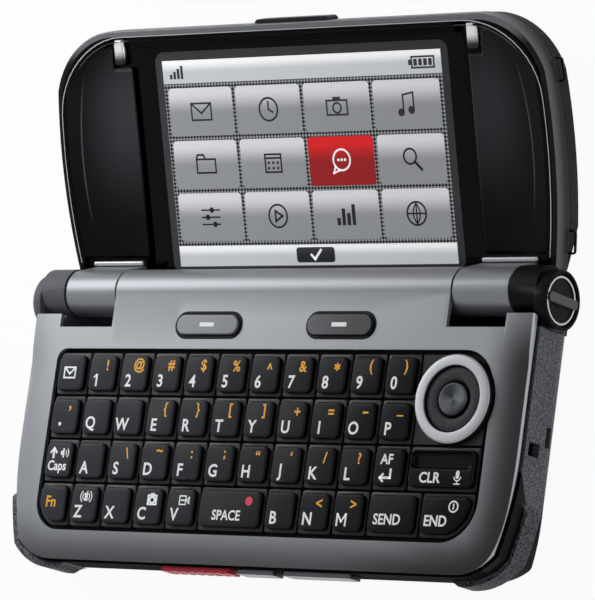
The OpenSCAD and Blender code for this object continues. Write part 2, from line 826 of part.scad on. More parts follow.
module select_key() {
    color("#6a6d72") translate([nav_x, nav_y, 0]) {
        translate([0, 0, flange_z]) cylinder(r = select_r, h = base_h + ring_rise - 0.2 - flange_z);
        translate([0, 0, stem_z]) cylinder(r = stem_r, h = flange_z - stem_z + key_t / 2);
    }
}

// Long key above the keyboard, held by a flange below the face, with a stem down to its dome
module soft_key(side) {
    flange_w = 0.5;
    flange_h = 0.5;
    color("#4c4f54") {
        translate([side * soft_x, soft_y, 0]) {
            block(0, 0, panel_z - root, soft_len, soft_w, panel_t + soft_rise + root, soft_w / 2 - seat);
            block(0, 0, panel_z - press_room - flange_h, soft_len + 2 * flange_w, soft_w + 2 * flange_w,
                flange_h, soft_w / 2);
        }
        translate([side * soft_x, soft_stem_y, stem_z]) cylinder(r = soft_stem_r, h = panel_z - stem_z);
    }
}

module soft_key_left() { soft_key(-1); }
module soft_key_right() { soft_key(1); }

// Key in the front wall, with a wider flange behind the wall
module edge_key(x, len) {
    r = 0.8;
    lap = 0.6;
    translate([x, front_y - edge_key_out, edge_key_z + edge_key_h / 2]) rotate([-90, 0, 0])
        linear_extrude(edge_key_out + wall_t + edge_room)
        soft_rect(-len / 2, len / 2, -edge_key_h / 2, edge_key_h / 2, [r, r, r, r]);
    box([x - len / 2 - lap, edge_flange_y, edge_key_z - lap],
        [x + len / 2 + lap, edge_flange_y + edge_flange_t, edge_key_z + edge_key_h + lap - gap]);
}

module push_key() {
    ribs = 7;
    rib_r = 0.35;
    step = push_len / (ribs + 1);
    color("#c8202f") difference() {
        edge_key(push_x, push_len);
        for (i = [0 : ribs - 1])
            translate([push_x + (i - (ribs - 1) / 2) * step, front_y - edge_key_out, edge_key_z - over])
                cylinder(r = rib_r, h = edge_key_h + 2 * over);
    }
}

module camera_key() { color("#9fa2a6") edge_key(camera_key_x, camera_key_len); }
module volume_rocker() { color("#9fa2a6") edge_key(rocker_x, rocker_len); }

// Flap outside the left wall over the charging socket
module port_cover() {
    color("#202124") translate([-half_w - seat - port_t, port_y, port_z]) rotate([90, 0, 90])
        linear_extrude(port_t) soft_rect(-port_w / 2, port_w / 2, -port_h / 2, port_h / 2, [1, 1, 1, 1]);
}

module charge_connector() {
    depth = 5;
    shell = 0.4;
    color("#b0b2b5") difference() {
        box([-half_w + shell, port_y - socket_w / 2, port_z - socket_h / 2],
            [-half_w + shell + depth, port_y + socket_w / 2, port_z + socket_h / 2]);
        box([-half_w - over, port_y - socket_w / 2 + shell, port_z - socket_h / 2 + shell],
            [-half_w + depth, port_y + socket_w / 2 - shell, port_z + socket_h / 2 - shell]);
    }
}

module camera_module() {
    side = 7.5;
    color("#17181a") {
        block(side_x, camera_y, floor_t, side, side, can_z - floor_t - 1, 0.5);
        translate([side_x, camera_y, board_z - 3]) cylinder(r = 2, h = 3);
    }
}

module camera_window() {
    color("#22262b") translate([side_x, camera_y, root]) cylinder(r = lens_r, h = floor_t - root);
}

module loudspeaker() {
    color("#3b3d40") translate([-side_x, speaker_y, floor_t]) cylinder(r = speaker_r, h = speaker_h);
}

module microphone() {
    side = 3;
    x = rocker_x + rocker_len;
    y = board_front + 2;
    color("#b8b19a") box([x, y, can_z], [x + side, y + side, board_z]);
}

module vibration_motor() {
    color("#a8aaad") {
        bar(motor_x, motor_x + motor_len, motor_y, motor_z, motor_r);
        bar(motor_x, motor_x + motor_len + weight_len + 2 * weight_gap, motor_y, motor_z, motor_shaft_r);
        box([motor_x + 1, motor_y - 1, floor_t], [motor_x + motor_len - 2, motor_y + 1, motor_z]);
    }
}

// Half-round weight that turns on the motor's shaft
module vibration_weight() {
    x = motor_x + motor_len + weight_gap;
    color("#8c7a4a") difference() {
        bar(x, x + weight_len, motor_y, motor_z, motor_r);
        bar(x - over, x + weight_len + over, motor_y, motor_z, motor_shaft_r + running);
        box([x - over, motor_y - 2 * motor_r, motor_z + motor_r / 2],
            [x + weight_len + over, motor_y + 2 * motor_r, motor_z + 2 * motor_r]);
    }
}

module antenna() {
    half = 5;
    thick = 1;
    y = board_back - 4 * thick;
    color("#c7a55b") box([-side_x - half, y - thick, floor_t], [-side_x + half, y, board_z]);
}

module base_screws() {
    color("#8f9296") for (s = [-1, 1], y = post_ys) translate([s * post_x, y, screw_recess]) {
        cylinder(r = head_r, h = head_t);
        cylinder(r = shank_r, h = panel_z - 1);
    }
}

module hinge_pins() {
    color("#b5b8bb") both() bar(barrel_half - barrel_end + seat, pin_end - seat, hinge_y, axis_z, pin_r);
}

// Cap on the right end of the hinge, with a raised coin bar
module hinge_end_cap() {
    coin_w = 1.8;
    coin_half = end_cap_r - 0.4;
    color("#17181a") {
        bar(boss_end_x - cap_recess + seat, cap_face, boss_end_y, boss_end_z, end_cap_r);
        translate([cap_face - root, boss_end_y, boss_end_z]) rotate([90, 0, 90]) rotate([0, 0, coin_turn])
            linear_extrude(boss_end_x + coin_rise - cap_face + root)
            soft_rect(-coin_half, coin_half, -coin_w / 2, coin_w / 2, [0.6, 0.6, 0.6, 0.6]);
    }
}

// Closed cam and spring unit in the right knuckle
module hinge_cartridge() {
    color("#7d8084") difference() {
        bar(knuckle_in + gap, knuckle_in + gap + cartridge_len, hinge_y, axis_z, cartridge_r);
        bar(knuckle_in - over, knuckle_out, hinge_y, axis_z, pin_r + running);
    }
}

// Flat cable from the main board, rolled up inside the middle barrel
module flex_cable() {
    flex_meet = sqrt(pow(flex_roll_r, 2) - pow(board_top + flex_t - axis_z, 2));
    color("#b8742a") {
        difference() {
            bar(flex_x - flex_w / 2, flex_x + flex_w / 2, hinge_y, axis_z, flex_roll_r);
            bar(flex_x - flex_w, flex_x + flex_w, hinge_y, axis_z, flex_roll_r - flex_t);
        }
        box([flex_x - flex_w / 2, tab_back - 2 * gap, board_top],
            [flex_x + flex_w / 2, hinge_y - flex_meet + flex_t, board_top + flex_t]);
    }
}

// Grey frame of the lid: rim, arms and hinge knuckles
module lid_chassis() {
    color("#8d9196") in_lid() difference() {
        union() {
            difference() {
                lid_slice(0, lid_front + rim_step, lid_split);
                lid_slice(rim_w, 0, lid_split + over);
            }
            both() {
                box([knuckle_in, arm_near, -arm_depth], [knuckle_out, arm_far, 0]);
                bar(knuckle_in, knuckle_out, 0, 0, barrel_r);
            }
        }
        both() bar(knuckle_in - over, knuckle_out + over, 0, 0, pin_r + running);
        bar(knuckle_in - over, knuckle_in + gap + cartridge_len + seat, 0, 0, cartridge_r + seat);
        lid_foot(0);
    }
}

// Gloss black inner face with a dished wing on each side of the window
module lid_bezel() {
    color("#0d0e10") in_lid() difference() {
        lid_slice(rim_w + seat, lid_front, bezel_depth);
        lid_slice(rim_w + band_rim, 0, lid_front + band_drop);
        translate([0, 0, -bezel_depth - over]) linear_extrude(bezel_depth)
            soft_rect(-window_half - seat, window_half + seat, window_near - seat, window_far + seat,
                [window_r, window_r, window_r, window_r]);
        both() wing_dish();
        both() translate([0, 0, -notch_floor]) linear_extrude(notch_floor)
            soft_rect(window_half - over, insert_x + insert_w + insert_room, insert_y - insert_room,
                lid_reach, [0.5, 0.5, 0.5, 0.5]);
        arm_space(seat);
        lid_foot(0);
    }
}

// Shallow trough of one wing, deepest nearer the window
module wing_dish() {
    across = wing_out - window_half;
    half = (1 - wing_lean) * across;
    sag = wing_depth - band_drop;
    dish_r = (half * half + sag * sag) / (2 * sag);
    intersection() {
        lid_slice(rim_w + band_rim, 0, lid_front + wing_depth + over);
        box([window_half - over, wing_near, -lid_front - wing_depth - over], [lid_half, lid_reach, 0]);
        translate([wing_out - half, 0, dish_r - lid_front - wing_depth]) rotate([-90, 0, 0])
            cylinder(r = dish_r, h = lid_reach, $fn = wide_facets);
    }
}

// Outer shell of the lid, with a slope at the hinge
module lid_cover() {
    color("#1c1d20") in_lid() difference() {
        lid_slice(cover_inset, lid_split, lid_back);
        difference() {
            lid_slice(cover_inset + lid_shell_t, lid_split - over, lid_back - lid_shell_t);
            lid_foot(foot_wall);
        }
        arm_space(seat);
        lid_foot(0);
        for (s = [-1, 1], y = screw_lid_ys) translate([s * screw_lid_x, y, -lid_back - over]) {
            cylinder(r = shank_r + seat, h = lid_back);
            cylinder(r = head_r + seat, h = over + head_t + root);
        }
        block(0, lid_mid, -lid_back - over, outer_w + 2 * seat, outer_h + 2 * seat, lid_shell_t + 2 * over, 2);
        for (a = [0 : 72 : 288])
            translate([ear_x + ear_r / 2 * cos(a), ear_y + ear_r / 2 * sin(a), -lid_back - over])
                cylinder(r = 0.5, h = lid_shell_t + 2 * over);
    }
}

module thumb_lip() {
    color("#3c3e42") in_lid() difference() {
        translate([0, 0, -lid_split - 2 * cover_inset]) linear_extrude(lip_t)
            soft_rect(-lip_w / 2, lip_w / 2, lid_reach - cover_inset, lid_reach + lip_out, [1, 1, 0.2, 0.2]);
        lid_slice(-seat, lid_front, lid_split);
        lid_slice(cover_inset - seat, lid_split - over, lid_back);
    }
}

// Grey bars in the notches beside the window
module notch_inserts() {
    color("#9a9da1") in_lid() both()
        box([insert_x, insert_y, -notch_floor],
            [insert_x + insert_w, insert_y + insert_len, -lid_front - band_drop]);
}

// Small loops that guard the lid's outer edge
module guard_loops() {
    loop_t = 0.5;
    wire = 0.4;
    color("#141517") in_lid() both() for (y = loop_ys)
        translate([bow_x, lid_mid, -lid_split - 0.6 - loop_t]) rotate(asin((y - lid_mid) / lid_side_r))
            translate([lid_side_r - cover_inset, 0, 0]) linear_extrude(loop_t) difference() {
                soft_rect(seat, loop_out, -loop_len / 2, loop_len / 2, [0.1, 0.7, 0.7, 0.1]);
                translate([0, wire - loop_len / 2]) square([loop_out - wire, loop_len - 2 * wire]);
            }
}

module display_window() {
    color("#08090b") in_lid() translate([0, 0, -lid_plane]) linear_extrude(window_t)
        soft_rect(-window_half, window_half, window_near, window_far, [window_r, window_r, window_r, window_r]);
}

module display_module() {
    end_margin = 0.6;
    color("#d6d9dd") in_lid() translate([0, 0, -lid_plane - display_t]) linear_extrude(display_t)
        soft_rect(-window_half + display_margin, window_half - display_margin,
            window_near + end_margin, window_far - end_margin, [1, 1, 1, 1]);
}

module outer_window() {
    color("#0b0c0e") in_lid() block(0, lid_mid, -lid_back + 0.1, outer_w, outer_h, lid_shell_t - 0.1, 2);
}

module outer_display() {
    z0 = -lid_back + lid_shell_t;
    frame = 2;
    thick = -lid_plane - display_t - lid_board_t - z0;
    color("#3a3d42") in_lid() block(0, lid_mid, z0, outer_w - 2 * frame, outer_h - 2 * frame, thick, 0.5);
}

module lid_board() {
    board_d = 24;
    shift = 3;
    color("#1f5a3c") in_lid() block(0, lid_mid + shift, -lid_plane - display_t - lid_board_t,
        2 * (window_half - display_margin), board_d, lid_board_t, 1);
}

module earpiece() {
    color("#3b3d40") in_lid() translate([ear_x, ear_y, -lid_back + lid_shell_t]) cylinder(r = ear_r, h = 1.6);
}

module lid_screws() {
    color("#8f9296") in_lid() for (s = [-1, 1], y = screw_lid_ys)
        translate([s * screw_lid_x, y, -lid_back + root]) {
            cylinder(r = head_r, h = head_t);
            cylinder(r = shank_r, h = lid_back - root - bezel_depth);
        }
}

base_housing();
base_panel();
panel_gasket();
corner_bumpers();
battery();
battery_contacts();
battery_cover();
battery_lock();
main_board();
shield_cans();
dome_sheet();
key_frame();
message_key();
period_key();
caps_key();
function_key();
enter_key();
clear_key();
space_key();
send_key();
end_key();
number_keys();
upper_letter_keys();
home_letter_keys();
lower_letter_keys();
nav_ring();
nav_pad();
select_key();
soft_key_left();
soft_key_right();
push_key();
camera_key();
volume_rocker();
port_cover();
charge_connector();
camera_module();
camera_window();
loudspeaker();
microphone();
vibration_motor();
vibration_weight();
antenna();
base_screws();
hinge_pins();
hinge_end_cap();
hinge_cartridge();
flex_cable();
lid_chassis();
lid_bezel();
lid_cover();
thumb_lip();
notch_inserts();
guard_loops();
display_window();
display_module();
outer_window();
outer_display();
earpiece();
lid_board();
lid_screws();
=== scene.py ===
"""Flip phone with a wide display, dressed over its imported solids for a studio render."""

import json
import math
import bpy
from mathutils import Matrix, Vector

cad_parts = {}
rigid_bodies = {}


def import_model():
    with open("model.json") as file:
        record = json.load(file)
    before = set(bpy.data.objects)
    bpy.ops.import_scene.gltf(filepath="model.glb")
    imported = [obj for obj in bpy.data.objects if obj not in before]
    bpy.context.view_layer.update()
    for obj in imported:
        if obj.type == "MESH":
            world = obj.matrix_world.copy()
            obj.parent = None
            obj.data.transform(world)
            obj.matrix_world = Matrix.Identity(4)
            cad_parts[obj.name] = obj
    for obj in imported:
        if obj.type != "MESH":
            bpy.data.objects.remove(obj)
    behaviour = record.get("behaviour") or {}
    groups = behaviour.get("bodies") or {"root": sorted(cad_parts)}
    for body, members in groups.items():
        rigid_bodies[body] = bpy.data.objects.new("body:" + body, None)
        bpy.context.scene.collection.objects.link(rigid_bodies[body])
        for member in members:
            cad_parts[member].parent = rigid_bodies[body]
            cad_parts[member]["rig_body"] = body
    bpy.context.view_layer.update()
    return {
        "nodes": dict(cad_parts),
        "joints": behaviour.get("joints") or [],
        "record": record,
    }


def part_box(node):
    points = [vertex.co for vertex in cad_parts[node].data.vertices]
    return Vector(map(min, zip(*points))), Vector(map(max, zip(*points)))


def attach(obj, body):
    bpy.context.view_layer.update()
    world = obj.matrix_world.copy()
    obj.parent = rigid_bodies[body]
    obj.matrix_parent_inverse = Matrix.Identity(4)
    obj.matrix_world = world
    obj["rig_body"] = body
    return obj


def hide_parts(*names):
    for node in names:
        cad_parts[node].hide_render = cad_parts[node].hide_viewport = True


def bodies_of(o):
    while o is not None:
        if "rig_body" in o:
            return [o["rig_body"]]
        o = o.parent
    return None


bl_info = {
    "name": "Flip Phone",
    "version": (1, 0, 0),
    "blender": (4, 5, 0),
    "location": "View3D > Sidebar > Flip Phone",
    "description": "Builds the visible pieces and finishes of a flip phone with a thumb keyboard",
    "category": "Object",
}

import bmesh
import bpy
from bpy.props import FloatProperty, FloatVectorProperty, IntProperty, PointerProperty
from mathutils import Matrix, Vector

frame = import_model()
CAD = frame["nodes"]

MM = 0.001
MERGE = 2e-6
NEAR_ENOUGH = 0.01 * MM
FLAT = math.radians(0.4)
SHARP = math.radians(28.0)

# The lid's own axes: X along the hinge, Y up the lid, Z out of its inner face.
LID_JOINT = next(j for j in frame["joints"] if j["name"] == "lid_hinge")
LID_LEAN = math.radians(180.0 - LID_JOINT["range_deg"][1])
LID_SPOT = Vector(LID_JOINT["pos_m"])
LID_PLACE = Matrix.Translation(LID_SPOT) @ Matrix.Rotation(LID_LEAN, 4, "X")
LID_IN_MM = LID_PLACE @ Matrix.Scale(MM, 4)

# The lid's outline and where its paint changes, in its own axes and in millimetres.
LID_HALF, LID_NEAR, LID_FAR = 59.3, 1.5, 51.0
LID_MIDDLE = (LID_NEAR + LID_FAR) / 2
LID_BOW, LID_TURN = 130.0, 16.0
RIM_FRONT, RIM_NEAR, RIM_SIDE = -5.0, 6.65, 53.6
# Where the painted highlight lines along the lid start up the lid, and how thick they are.
HIGHLIGHT_NEAR, HIGHLIGHT_THICK = LID_NEAR + 4.0, 0.05
COVER_TURN, COVER_REACH = 17.0 * MM, 3.4 * MM

# The wings, their notches and the ledges below them, in the lid's own axes and in millimetres.
WING_IN_LEFT, WING_IN_RIGHT, WING_OUT = 39.6, 41.4, 57.2
WING_NEAR, WING_FAR = 6.2, 48.8
WING_TURN, WING_RADIUS = 35.0, 13.8
WING_FLOOR, WING_HOLLOW, WING_RISE = 5.6, 0.5, 0.54
CREASE_OUT, CREASE_MIDDLE, CREASE_CURVE = 55.0, 25.0, 0.0098
CREASE_UV, CREASE_MOST, CREASE_BLEND = 0.75, 0.93, 8
NOTCH_OUT, NOTCH_NEAR = 44.3, 43.7
# Where the notch inserts' painted reflection fades to black, up the lid.
INSERT_FADE = 45.25
LEDGE_SIZE, LEDGE_PLACE = (12.6, 0.9, 0.8), (47.2, 5.2, -5.5)

# The display's picture, in the lid's own axes and in millimetres.
SCREEN_LEFT, SCREEN_RIGHT, SCREEN_NEAR, SCREEN_FAR = -32.65, 34.35, 4.3, 44.6
WINDOW_FRONT = -6.9
SHEET = 0.012
NEAR_BAR, FAR_BAR = 4.0, 4.5
TILE_COLUMNS, TILE_ROWS, CHOSEN_TILE = 4, 3, (2, 1)

# The base's outline and face.
PLAN_RADIUS, SIDE_RADIUS = 12.0 * MM, 66.0 * MM
DRAW_Y, FRONT_Y = -5.0 * MM, -28.8 * MM
BASE_HALF = 60.3 * MM
FACE_TOP, FACE_BACK = 12.8 * MM, 16.0 * MM
BLEND = 0.9 * MM
SOFT_LENGTH, SOFT_WIDTH = 15.0 * MM, 3.9 * MM

# The shell's polished wedges, foot and bosses, in millimetres.
WEDGE_START, WEDGE_TOP, WEDGE_SLOPE, WEDGE_RUN = -7.5, 12.3, 0.62, 8.0
SHELL_FOOT, SHELL_EDGE, SHELL_CHIN, BOSS_START = 2.4, 12.0, 1.2, 17.6

# Grain sizes of the paints, in millimetres.
FLAKE, DRIFT, SKIN = 0.11, 26.0, 0.2

# The camera's place and axes, and the rays that see the white surround.
CAMERA_SPOT = (0.5408, -0.1298, 0.6829)
CAMERA_RIGHT = (0.7885, 0.1322, -0.6007)
CAMERA_UP = (0.0033, 0.9757, 0.2192)
CAMERA_BACK = (0.6151, -0.1748, 0.7689)
CAMERA_LENS = 277.29
WHITE = (1.0, 1.0, 1.0)
SURROUND_LIGHT, SURROUND_SEEN, FLOOR_SEEN = 0.10, 1.0, 0.95

# The lamps: name, place, point looked at, width, height and power.
LAMPS = (
    ("left_softbox", (-0.19, 0.12, 0.16), (-0.03, 0.0, 0.01), 0.14, 0.14, 0.42),
    ("front_softbox", (-0.06, -0.36, 0.26), (0.0, 0.0, 0.01), 0.30, 0.20, 0.12),
    ("right_softbox", (0.34, 0.03, 0.04), (0.06, 0.0, 0.006), 0.16, 0.08, 0.16),
)
RAYS = ("Is Camera Ray", "Is Glossy Ray", "Is Transmission Ray")

# The key grid, read off the rows of equal keys.
KEY_GAP = 0.42 * MM
HOME_LOW, HOME_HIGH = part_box("home_letter_keys")
FIRST_LOW, FIRST_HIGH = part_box("message_key")
PITCH_X = (HOME_HIGH.x - HOME_LOW.x + KEY_GAP) / 9
PITCH_Y = HOME_HIGH.y - HOME_LOW.y + KEY_GAP
GRID_X = FIRST_LOW.x - KEY_GAP / 2
GRID_Y = FIRST_HIGH.y + KEY_GAP / 2
CAP_TOP = HOME_HIGH.z
TILE_TOP = CAP_TOP - 1.1 * MM

KEY_NODES = (
    "message_key", "period_key", "caps_key", "function_key", "enter_key", "clear_key", "space_key",
    "send_key", "end_key", "number_keys", "upper_letter_keys", "home_letter_keys", "lower_letter_keys",
)


def tint(red, green, blue):
    """A colour written as 0 to 255 on a screen, in Blender's linear values."""
    return tuple(c / 3294.6 if c < 11 else ((c / 255 + 0.055) / 1.055) ** 2.4 for c in (red, green, blue))


def colour(label, note, red, green, blue):
    """A colour that a user can change."""
    return FloatVectorProperty(
        name=label, description=note, subtype="COLOR", size=3, min=0.0, max=1.0,
        default=tint(red, green, blue),
    )


def length(label, note, millimetres):
    """A length that a user can change, in metres."""
    return FloatProperty(
        name=label, description=note, subtype="DISTANCE", unit="LENGTH", min=0.0, precision=5,
        default=millimetres * MM,
    )


class PhoneSizes(bpy.types.PropertyGroup):
    """Lengths of the dressed pieces."""

    edge_round: length("Edge rounding", "Rounding of the moulded edges", 0.25)
    cap_round: length("Key cap rounding", "Rounding of the key caps' upper edges", 0.55)
    tile_round: length("Key tile rounding", "Rounding of the tiles below the key caps", 0.14)
    panel_roll: length("Face roll width", "How far in from its edge the face starts to roll down", 6.5)
    panel_drop: length("Face roll drop", "How far the keyboard face rolls down at its edge", 0.62)
    legend_height: length("Legend height", "Height of the letters and numbers", 2.45)
    sign_height: length("Sign height", "Height of the second signs", 2.15)
    ink_rise: length("Ink thickness", "How far the printed legends stand up", 0.02)
    screen_gap: length("Screen tile gap", "Gap between the tiles on the display", 0.9)


class PhoneColours(bpy.types.PropertyGroup):
    """Colours of the finishes."""

    gunmetal: colour("Gunmetal", "Keyboard face", 146, 149, 154)
    rim_grey: colour("Rim grey", "Lid rim and knuckles", 146, 149, 154)
    shell_black: colour("Shell black", "Textured shell", 38, 39, 42)
    gloss_black: colour("Gloss black", "Inner face of the lid", 3, 3, 4)
    wing_grey: colour("Wing charcoal", "Dished wings beside the display", 54, 55, 59)
    cap_black: colour("Key cap", "Key caps", 67, 69, 73)
    tile_grey: colour("Key tile", "Tiles below the key caps", 76, 78, 82)
    ring_silver: colour("Ring silver", "Navigation ring", 196, 198, 202)
    crimson: colour("Crimson", "Ribbed key on the front edge", 190, 26, 48)
    white_ink: colour("White ink", "Letters and numbers", 236, 238, 240)
    orange_ink: colour("Orange ink", "Second signs", 232, 164, 44)
    red_ink: colour("Red ink", "Dot on the long key", 222, 62, 84)
    screen_silver: colour("Screen silver", "Tiles on the display", 200, 203, 208)
    screen_red: colour("Screen red", "Chosen tile on the display", 206, 22, 26)


class Amount:
    """A shader output that takes part in Python sums."""

    def __init__(self, finish, socket):
        self.finish = finish
        self.socket = socket

    def __add__(self, other):
        return self.finish.sum("ADD", self, other)

    __radd__ = __add__

    def __sub__(self, other):
        return self.finish.sum("SUBTRACT", self, other)

    def __rsub__(self, other):
        return self.finish.sum("SUBTRACT", other, self)

    def __mul__(self, other):
        return self.finish.sum("MULTIPLY", self, other)

    __rmul__ = __mul__

    def __pow__(self, other):
        return self.finish.sum("POWER", self, other)


class Finish:
    """One node material, written as sums of shader outputs."""

    def __init__(self, name, **fixed):
        self.material = bpy.data.materials.new(name)
        self.material.use_nodes = True
        self.nodes = self.material.node_tree.nodes
        self.links = self.material.node_tree.links
        self.nodes.clear()
        self.shader = self.nodes.new("ShaderNodeBsdfPrincipled")
        self.output = self.nodes.new("ShaderNodeOutputMaterial")
        self.links.new(self.shader.outputs[0], self.output.inputs[0])
        self.surface(**fixed)

    def feed(self, socket, value):
        """Links an output to a socket, or sets the socket's own value."""
        if isinstance(value, Amount):
            self.links.new(value.socket, socket)
            return
        if socket.type == "RGBA" and len(value) == 3:
            value = (*value, 1.0)
        socket.default_value = value

    def node(self, kind, settings=None, sockets=None, out=0):
        """Adds a node: its settings first, then the values or links of its sockets."""
        made = self.nodes.new(kind)
        for name, value in (settings or {}).items():
            setattr(made, name, value)
        for key, value in (sockets or {}).items():
            self.feed(made.inputs[key], value)
        return Amount(self, made.outputs[out])

    def sum(self, operation, one, two=0.0):
        """One step of arithmetic between amounts or numbers."""
        return self.node("ShaderNodeMath", {"operation": operation}, {0: one, 1: two})

    def surface(self, **values):
        """Feeds the shader: base_color, roughness, metallic and so on."""
        for key, value in values.items():
            name = "Specular IOR Level" if key == "specular" else key.replace("_", " ").title()
            self.feed(self.shader.inputs[name], value)

    def where(self, scale=(1.0, 1.0, 1.0), shift=(0.0, 0.0, 0.0), source="Object"):
        """The surface's own coordinates, shifted and stretched."""
        spot = self.node("ShaderNodeTexCoord", out=source)
        return self.node(
            "ShaderNodeMapping", {"vector_type": "POINT"},
            {"Vector": spot, "Scale": scale, "Location": shift},
        )

    def axes(self, **options):
        """The three coordinates as amounts."""
        spot = self.where(**options)
        return [self.node("ShaderNodeSeparateXYZ", {}, {0: spot}, out=i) for i in range(3)]

    def millimetres(self):
        """The three object coordinates in millimetres."""
        return self.axes(scale=(1 / MM,) * 3)

    def lid_axes(self):
        """A point's place in the lid's own axes, in millimetres."""
        x, y, z = self.millimetres()
        y, z = y - LID_SPOT.y / MM, z - LID_SPOT.z / MM
        up = y * math.cos(LID_LEAN) + z * math.sin(LID_LEAN)
        out = z * math.cos(LID_LEAN) - y * math.sin(LID_LEAN)
        return x, up, out

    def noise(self, grain, detail=2.0, stretch=(1.0, 1.0, 1.0)):
        """Noise from 0 to 1 whose grains are that size in millimetres."""
        sockets = {"Vector": self.where(scale=stretch), "Scale": 1 / (grain * MM), "Detail": detail}
        return self.node("ShaderNodeTexNoise", {}, sockets)

    def mix(self, factor, first, second):
        """One colour fading to another."""
        return self.node("ShaderNodeMix", {"data_type": "RGBA"}, {0: factor, 6: first, 7: second}, out=2)

    def step(self, value, low, high):
        """0 below low, 1 above high and smooth between."""
        return self.node(
            "ShaderNodeMapRange", {"interpolation_type": "SMOOTHSTEP"}, {"Value": value, 1: low, 2: high}
        )

    def bump(self, height, depth, strength=1.0):
        """Raises the surface by an amount, up to that depth in millimetres."""
        sockets = {"Strength": strength, "Distance": depth * MM, "Height": height}
        self.surface(normal=self.node("ShaderNodeBump", {}, sockets))


def shade(tone, factor):
    """A colour made darker or lighter."""
    return tuple(min(1.0, c * factor) for c in tone)


def painted_metal(name, tone, metallic=0.7, roughness=0.34, specular=0.3):
    """Satin metallic paint: fine flakes, a slow drift of tone and faint rub marks."""
    f = Finish(name, metallic=metallic, specular=specular)
    flake = f.noise(FLAKE, 1.0)
    drift = f.noise(DRIFT, 2.0)
    f.surface(
        base_color=f.mix(drift * 0.6 + flake * 0.4, shade(tone, 0.9), shade(tone, 1.1)),
        roughness=roughness + 0.08 * (flake - 0.5) + 0.08 * (drift - 0.5),
    )
    f.bump(flake, 0.004, 0.5)
    return f


def face_paint(name, tone):
    """Satin paint of the keyboard face, with painted shade that darkens its border, most on the right and
    along the front, and a painted highlight line along its right edge.
    """
    f = Finish(name, metallic=0.3, specular=0.25)
    shade_border_reach, shade_border_power, shade_border_tone = 11.0, 1.5, 0.05
    highlight_in, highlight_fade, highlight_low, highlight_tone = 0.26, 0.12, 12.0, 1.7
    x, y, z = f.millimetres()
    edge, _, _ = f.axes(source="UV")
    flake = f.noise(FLAKE, 1.0)
    drift = f.noise(DRIFT, 2.0)
    # Painted shade: the border darkens towards the edge, most on the right and along the front, where the
    # light falls away.
    right = f.step(x, 15.0, 50.0) * (1.0 - 0.7 * f.step(y, 10.0, 22.0))
    front = 1.0 - f.step(y, -29.0, -17.0)
    weight = f.sum("MAXIMUM", 0.95 * right, front * (0.6 + 0.38 * right))
    border = (1.0 - f.step(edge, 0.0, shade_border_reach)) * weight
    # Painted highlight: a pale line along the outer edge on the right, where the rounded edge would catch the
    # light.
    highlight_at_edge = 1.0 - f.step(edge, highlight_in, highlight_in + highlight_fade)
    line = highlight_at_edge * f.step(x, 10.0, 50.0) * f.step(z, highlight_low, highlight_low + 0.1)
    plain = f.mix(drift * 0.6 + flake * 0.4, shade(tone, 0.9), shade(tone, 1.1))
    dark = f.mix((1.0 - border) ** shade_border_power, shade(tone, shade_border_tone), plain)
    f.surface(
        base_color=f.mix(line, dark, shade(tone, highlight_tone)),
        roughness=0.38 + 0.08 * (flake - 0.5) + 0.08 * (drift - 0.5),
    )
    f.bump(flake, 0.002)
    return f


def spark_grain(f, grain):
    """The height of a spark-eroded skin: pits with a finer noise in them."""
    pits = f.node("ShaderNodeTexVoronoi", {"feature": "F1"}, {"Vector": f.where(), "Scale": 1 / (grain * MM)})
    return 0.6 * pits + 0.6 * f.noise(grain * 0.6, 3.0)


def textured_plastic(name, tone, grain=0.34, depth=0.035, specular=0.3, peak=2.2):
    """Spark-eroded plastic: a fine even grain with brighter tops."""
    f = Finish(name, specular=specular)
    height = spark_grain(f, grain)
    drift = f.noise(14.0, 2.0)
    f.surface(
        base_color=f.mix(f.step(height, 0.38, 0.78), shade(tone, 0.9), shade(tone, peak)),
        roughness=0.46 + 0.14 * drift,
    )
    f.bump(height, depth, 0.8)
    return f


def shell_plastic(name, tone):
    """The base shell: spark-eroded walls, polished wedges above the bumpers and satin hinge bosses, the left
    one painted lighter as if lit and the right one painted dark as if in shade.
    """
    f = Finish(name, specular=0.06)
    x, y, z = f.millimetres()
    ahead = f.sum("MAXIMUM", WEDGE_START - y, 0.0)
    line = WEDGE_TOP - WEDGE_SLOPE * f.sum("MINIMUM", ahead, WEDGE_RUN)
    above = f.step(z - line, -0.12, 0.12) * f.step(ahead, 0.0, 0.6)
    edge = f.step(z, SHELL_EDGE, SHELL_EDGE + 0.2)
    below = 1.0 - f.step(z, SHELL_FOOT, SHELL_FOOT + 0.4)
    chin = 1.0 - f.step(y - FRONT_Y / MM, SHELL_CHIN, SHELL_CHIN + 0.4)
    smooth = above
    for part in (below, edge, chin):
        smooth = f.sum("MAXIMUM", smooth, part)
    boss = f.step(y, BOSS_START, BOSS_START + 0.4)
    pit_tone, top_tone, polished_tone, lit_boss_tone, shaded_boss_tone = 2.6, 10.0, 0.05, 5.2, 0.08
    height = spark_grain(f, 0.38)
    speckle = f.mix(f.step(height, 0.36, 0.8), shade(tone, pit_tone), shade(tone, top_tone))
    # Painted light and shade: the left boss is painted lighter as if lit, the right one darker as if in
    # shade.
    satin = f.mix(f.step(x, -20.0, 20.0), shade(tone, lit_boss_tone), shade(tone, shaded_boss_tone))
    f.surface(
        base_color=f.mix(boss, f.mix(smooth, speckle, shade(tone, polished_tone)), satin),
        roughness=0.5 - 0.1 * smooth + 0.5 * chin,
    )
    f.bump(height * (1.0 - smooth) * (1.0 - boss), 0.04, 0.8)
    return f


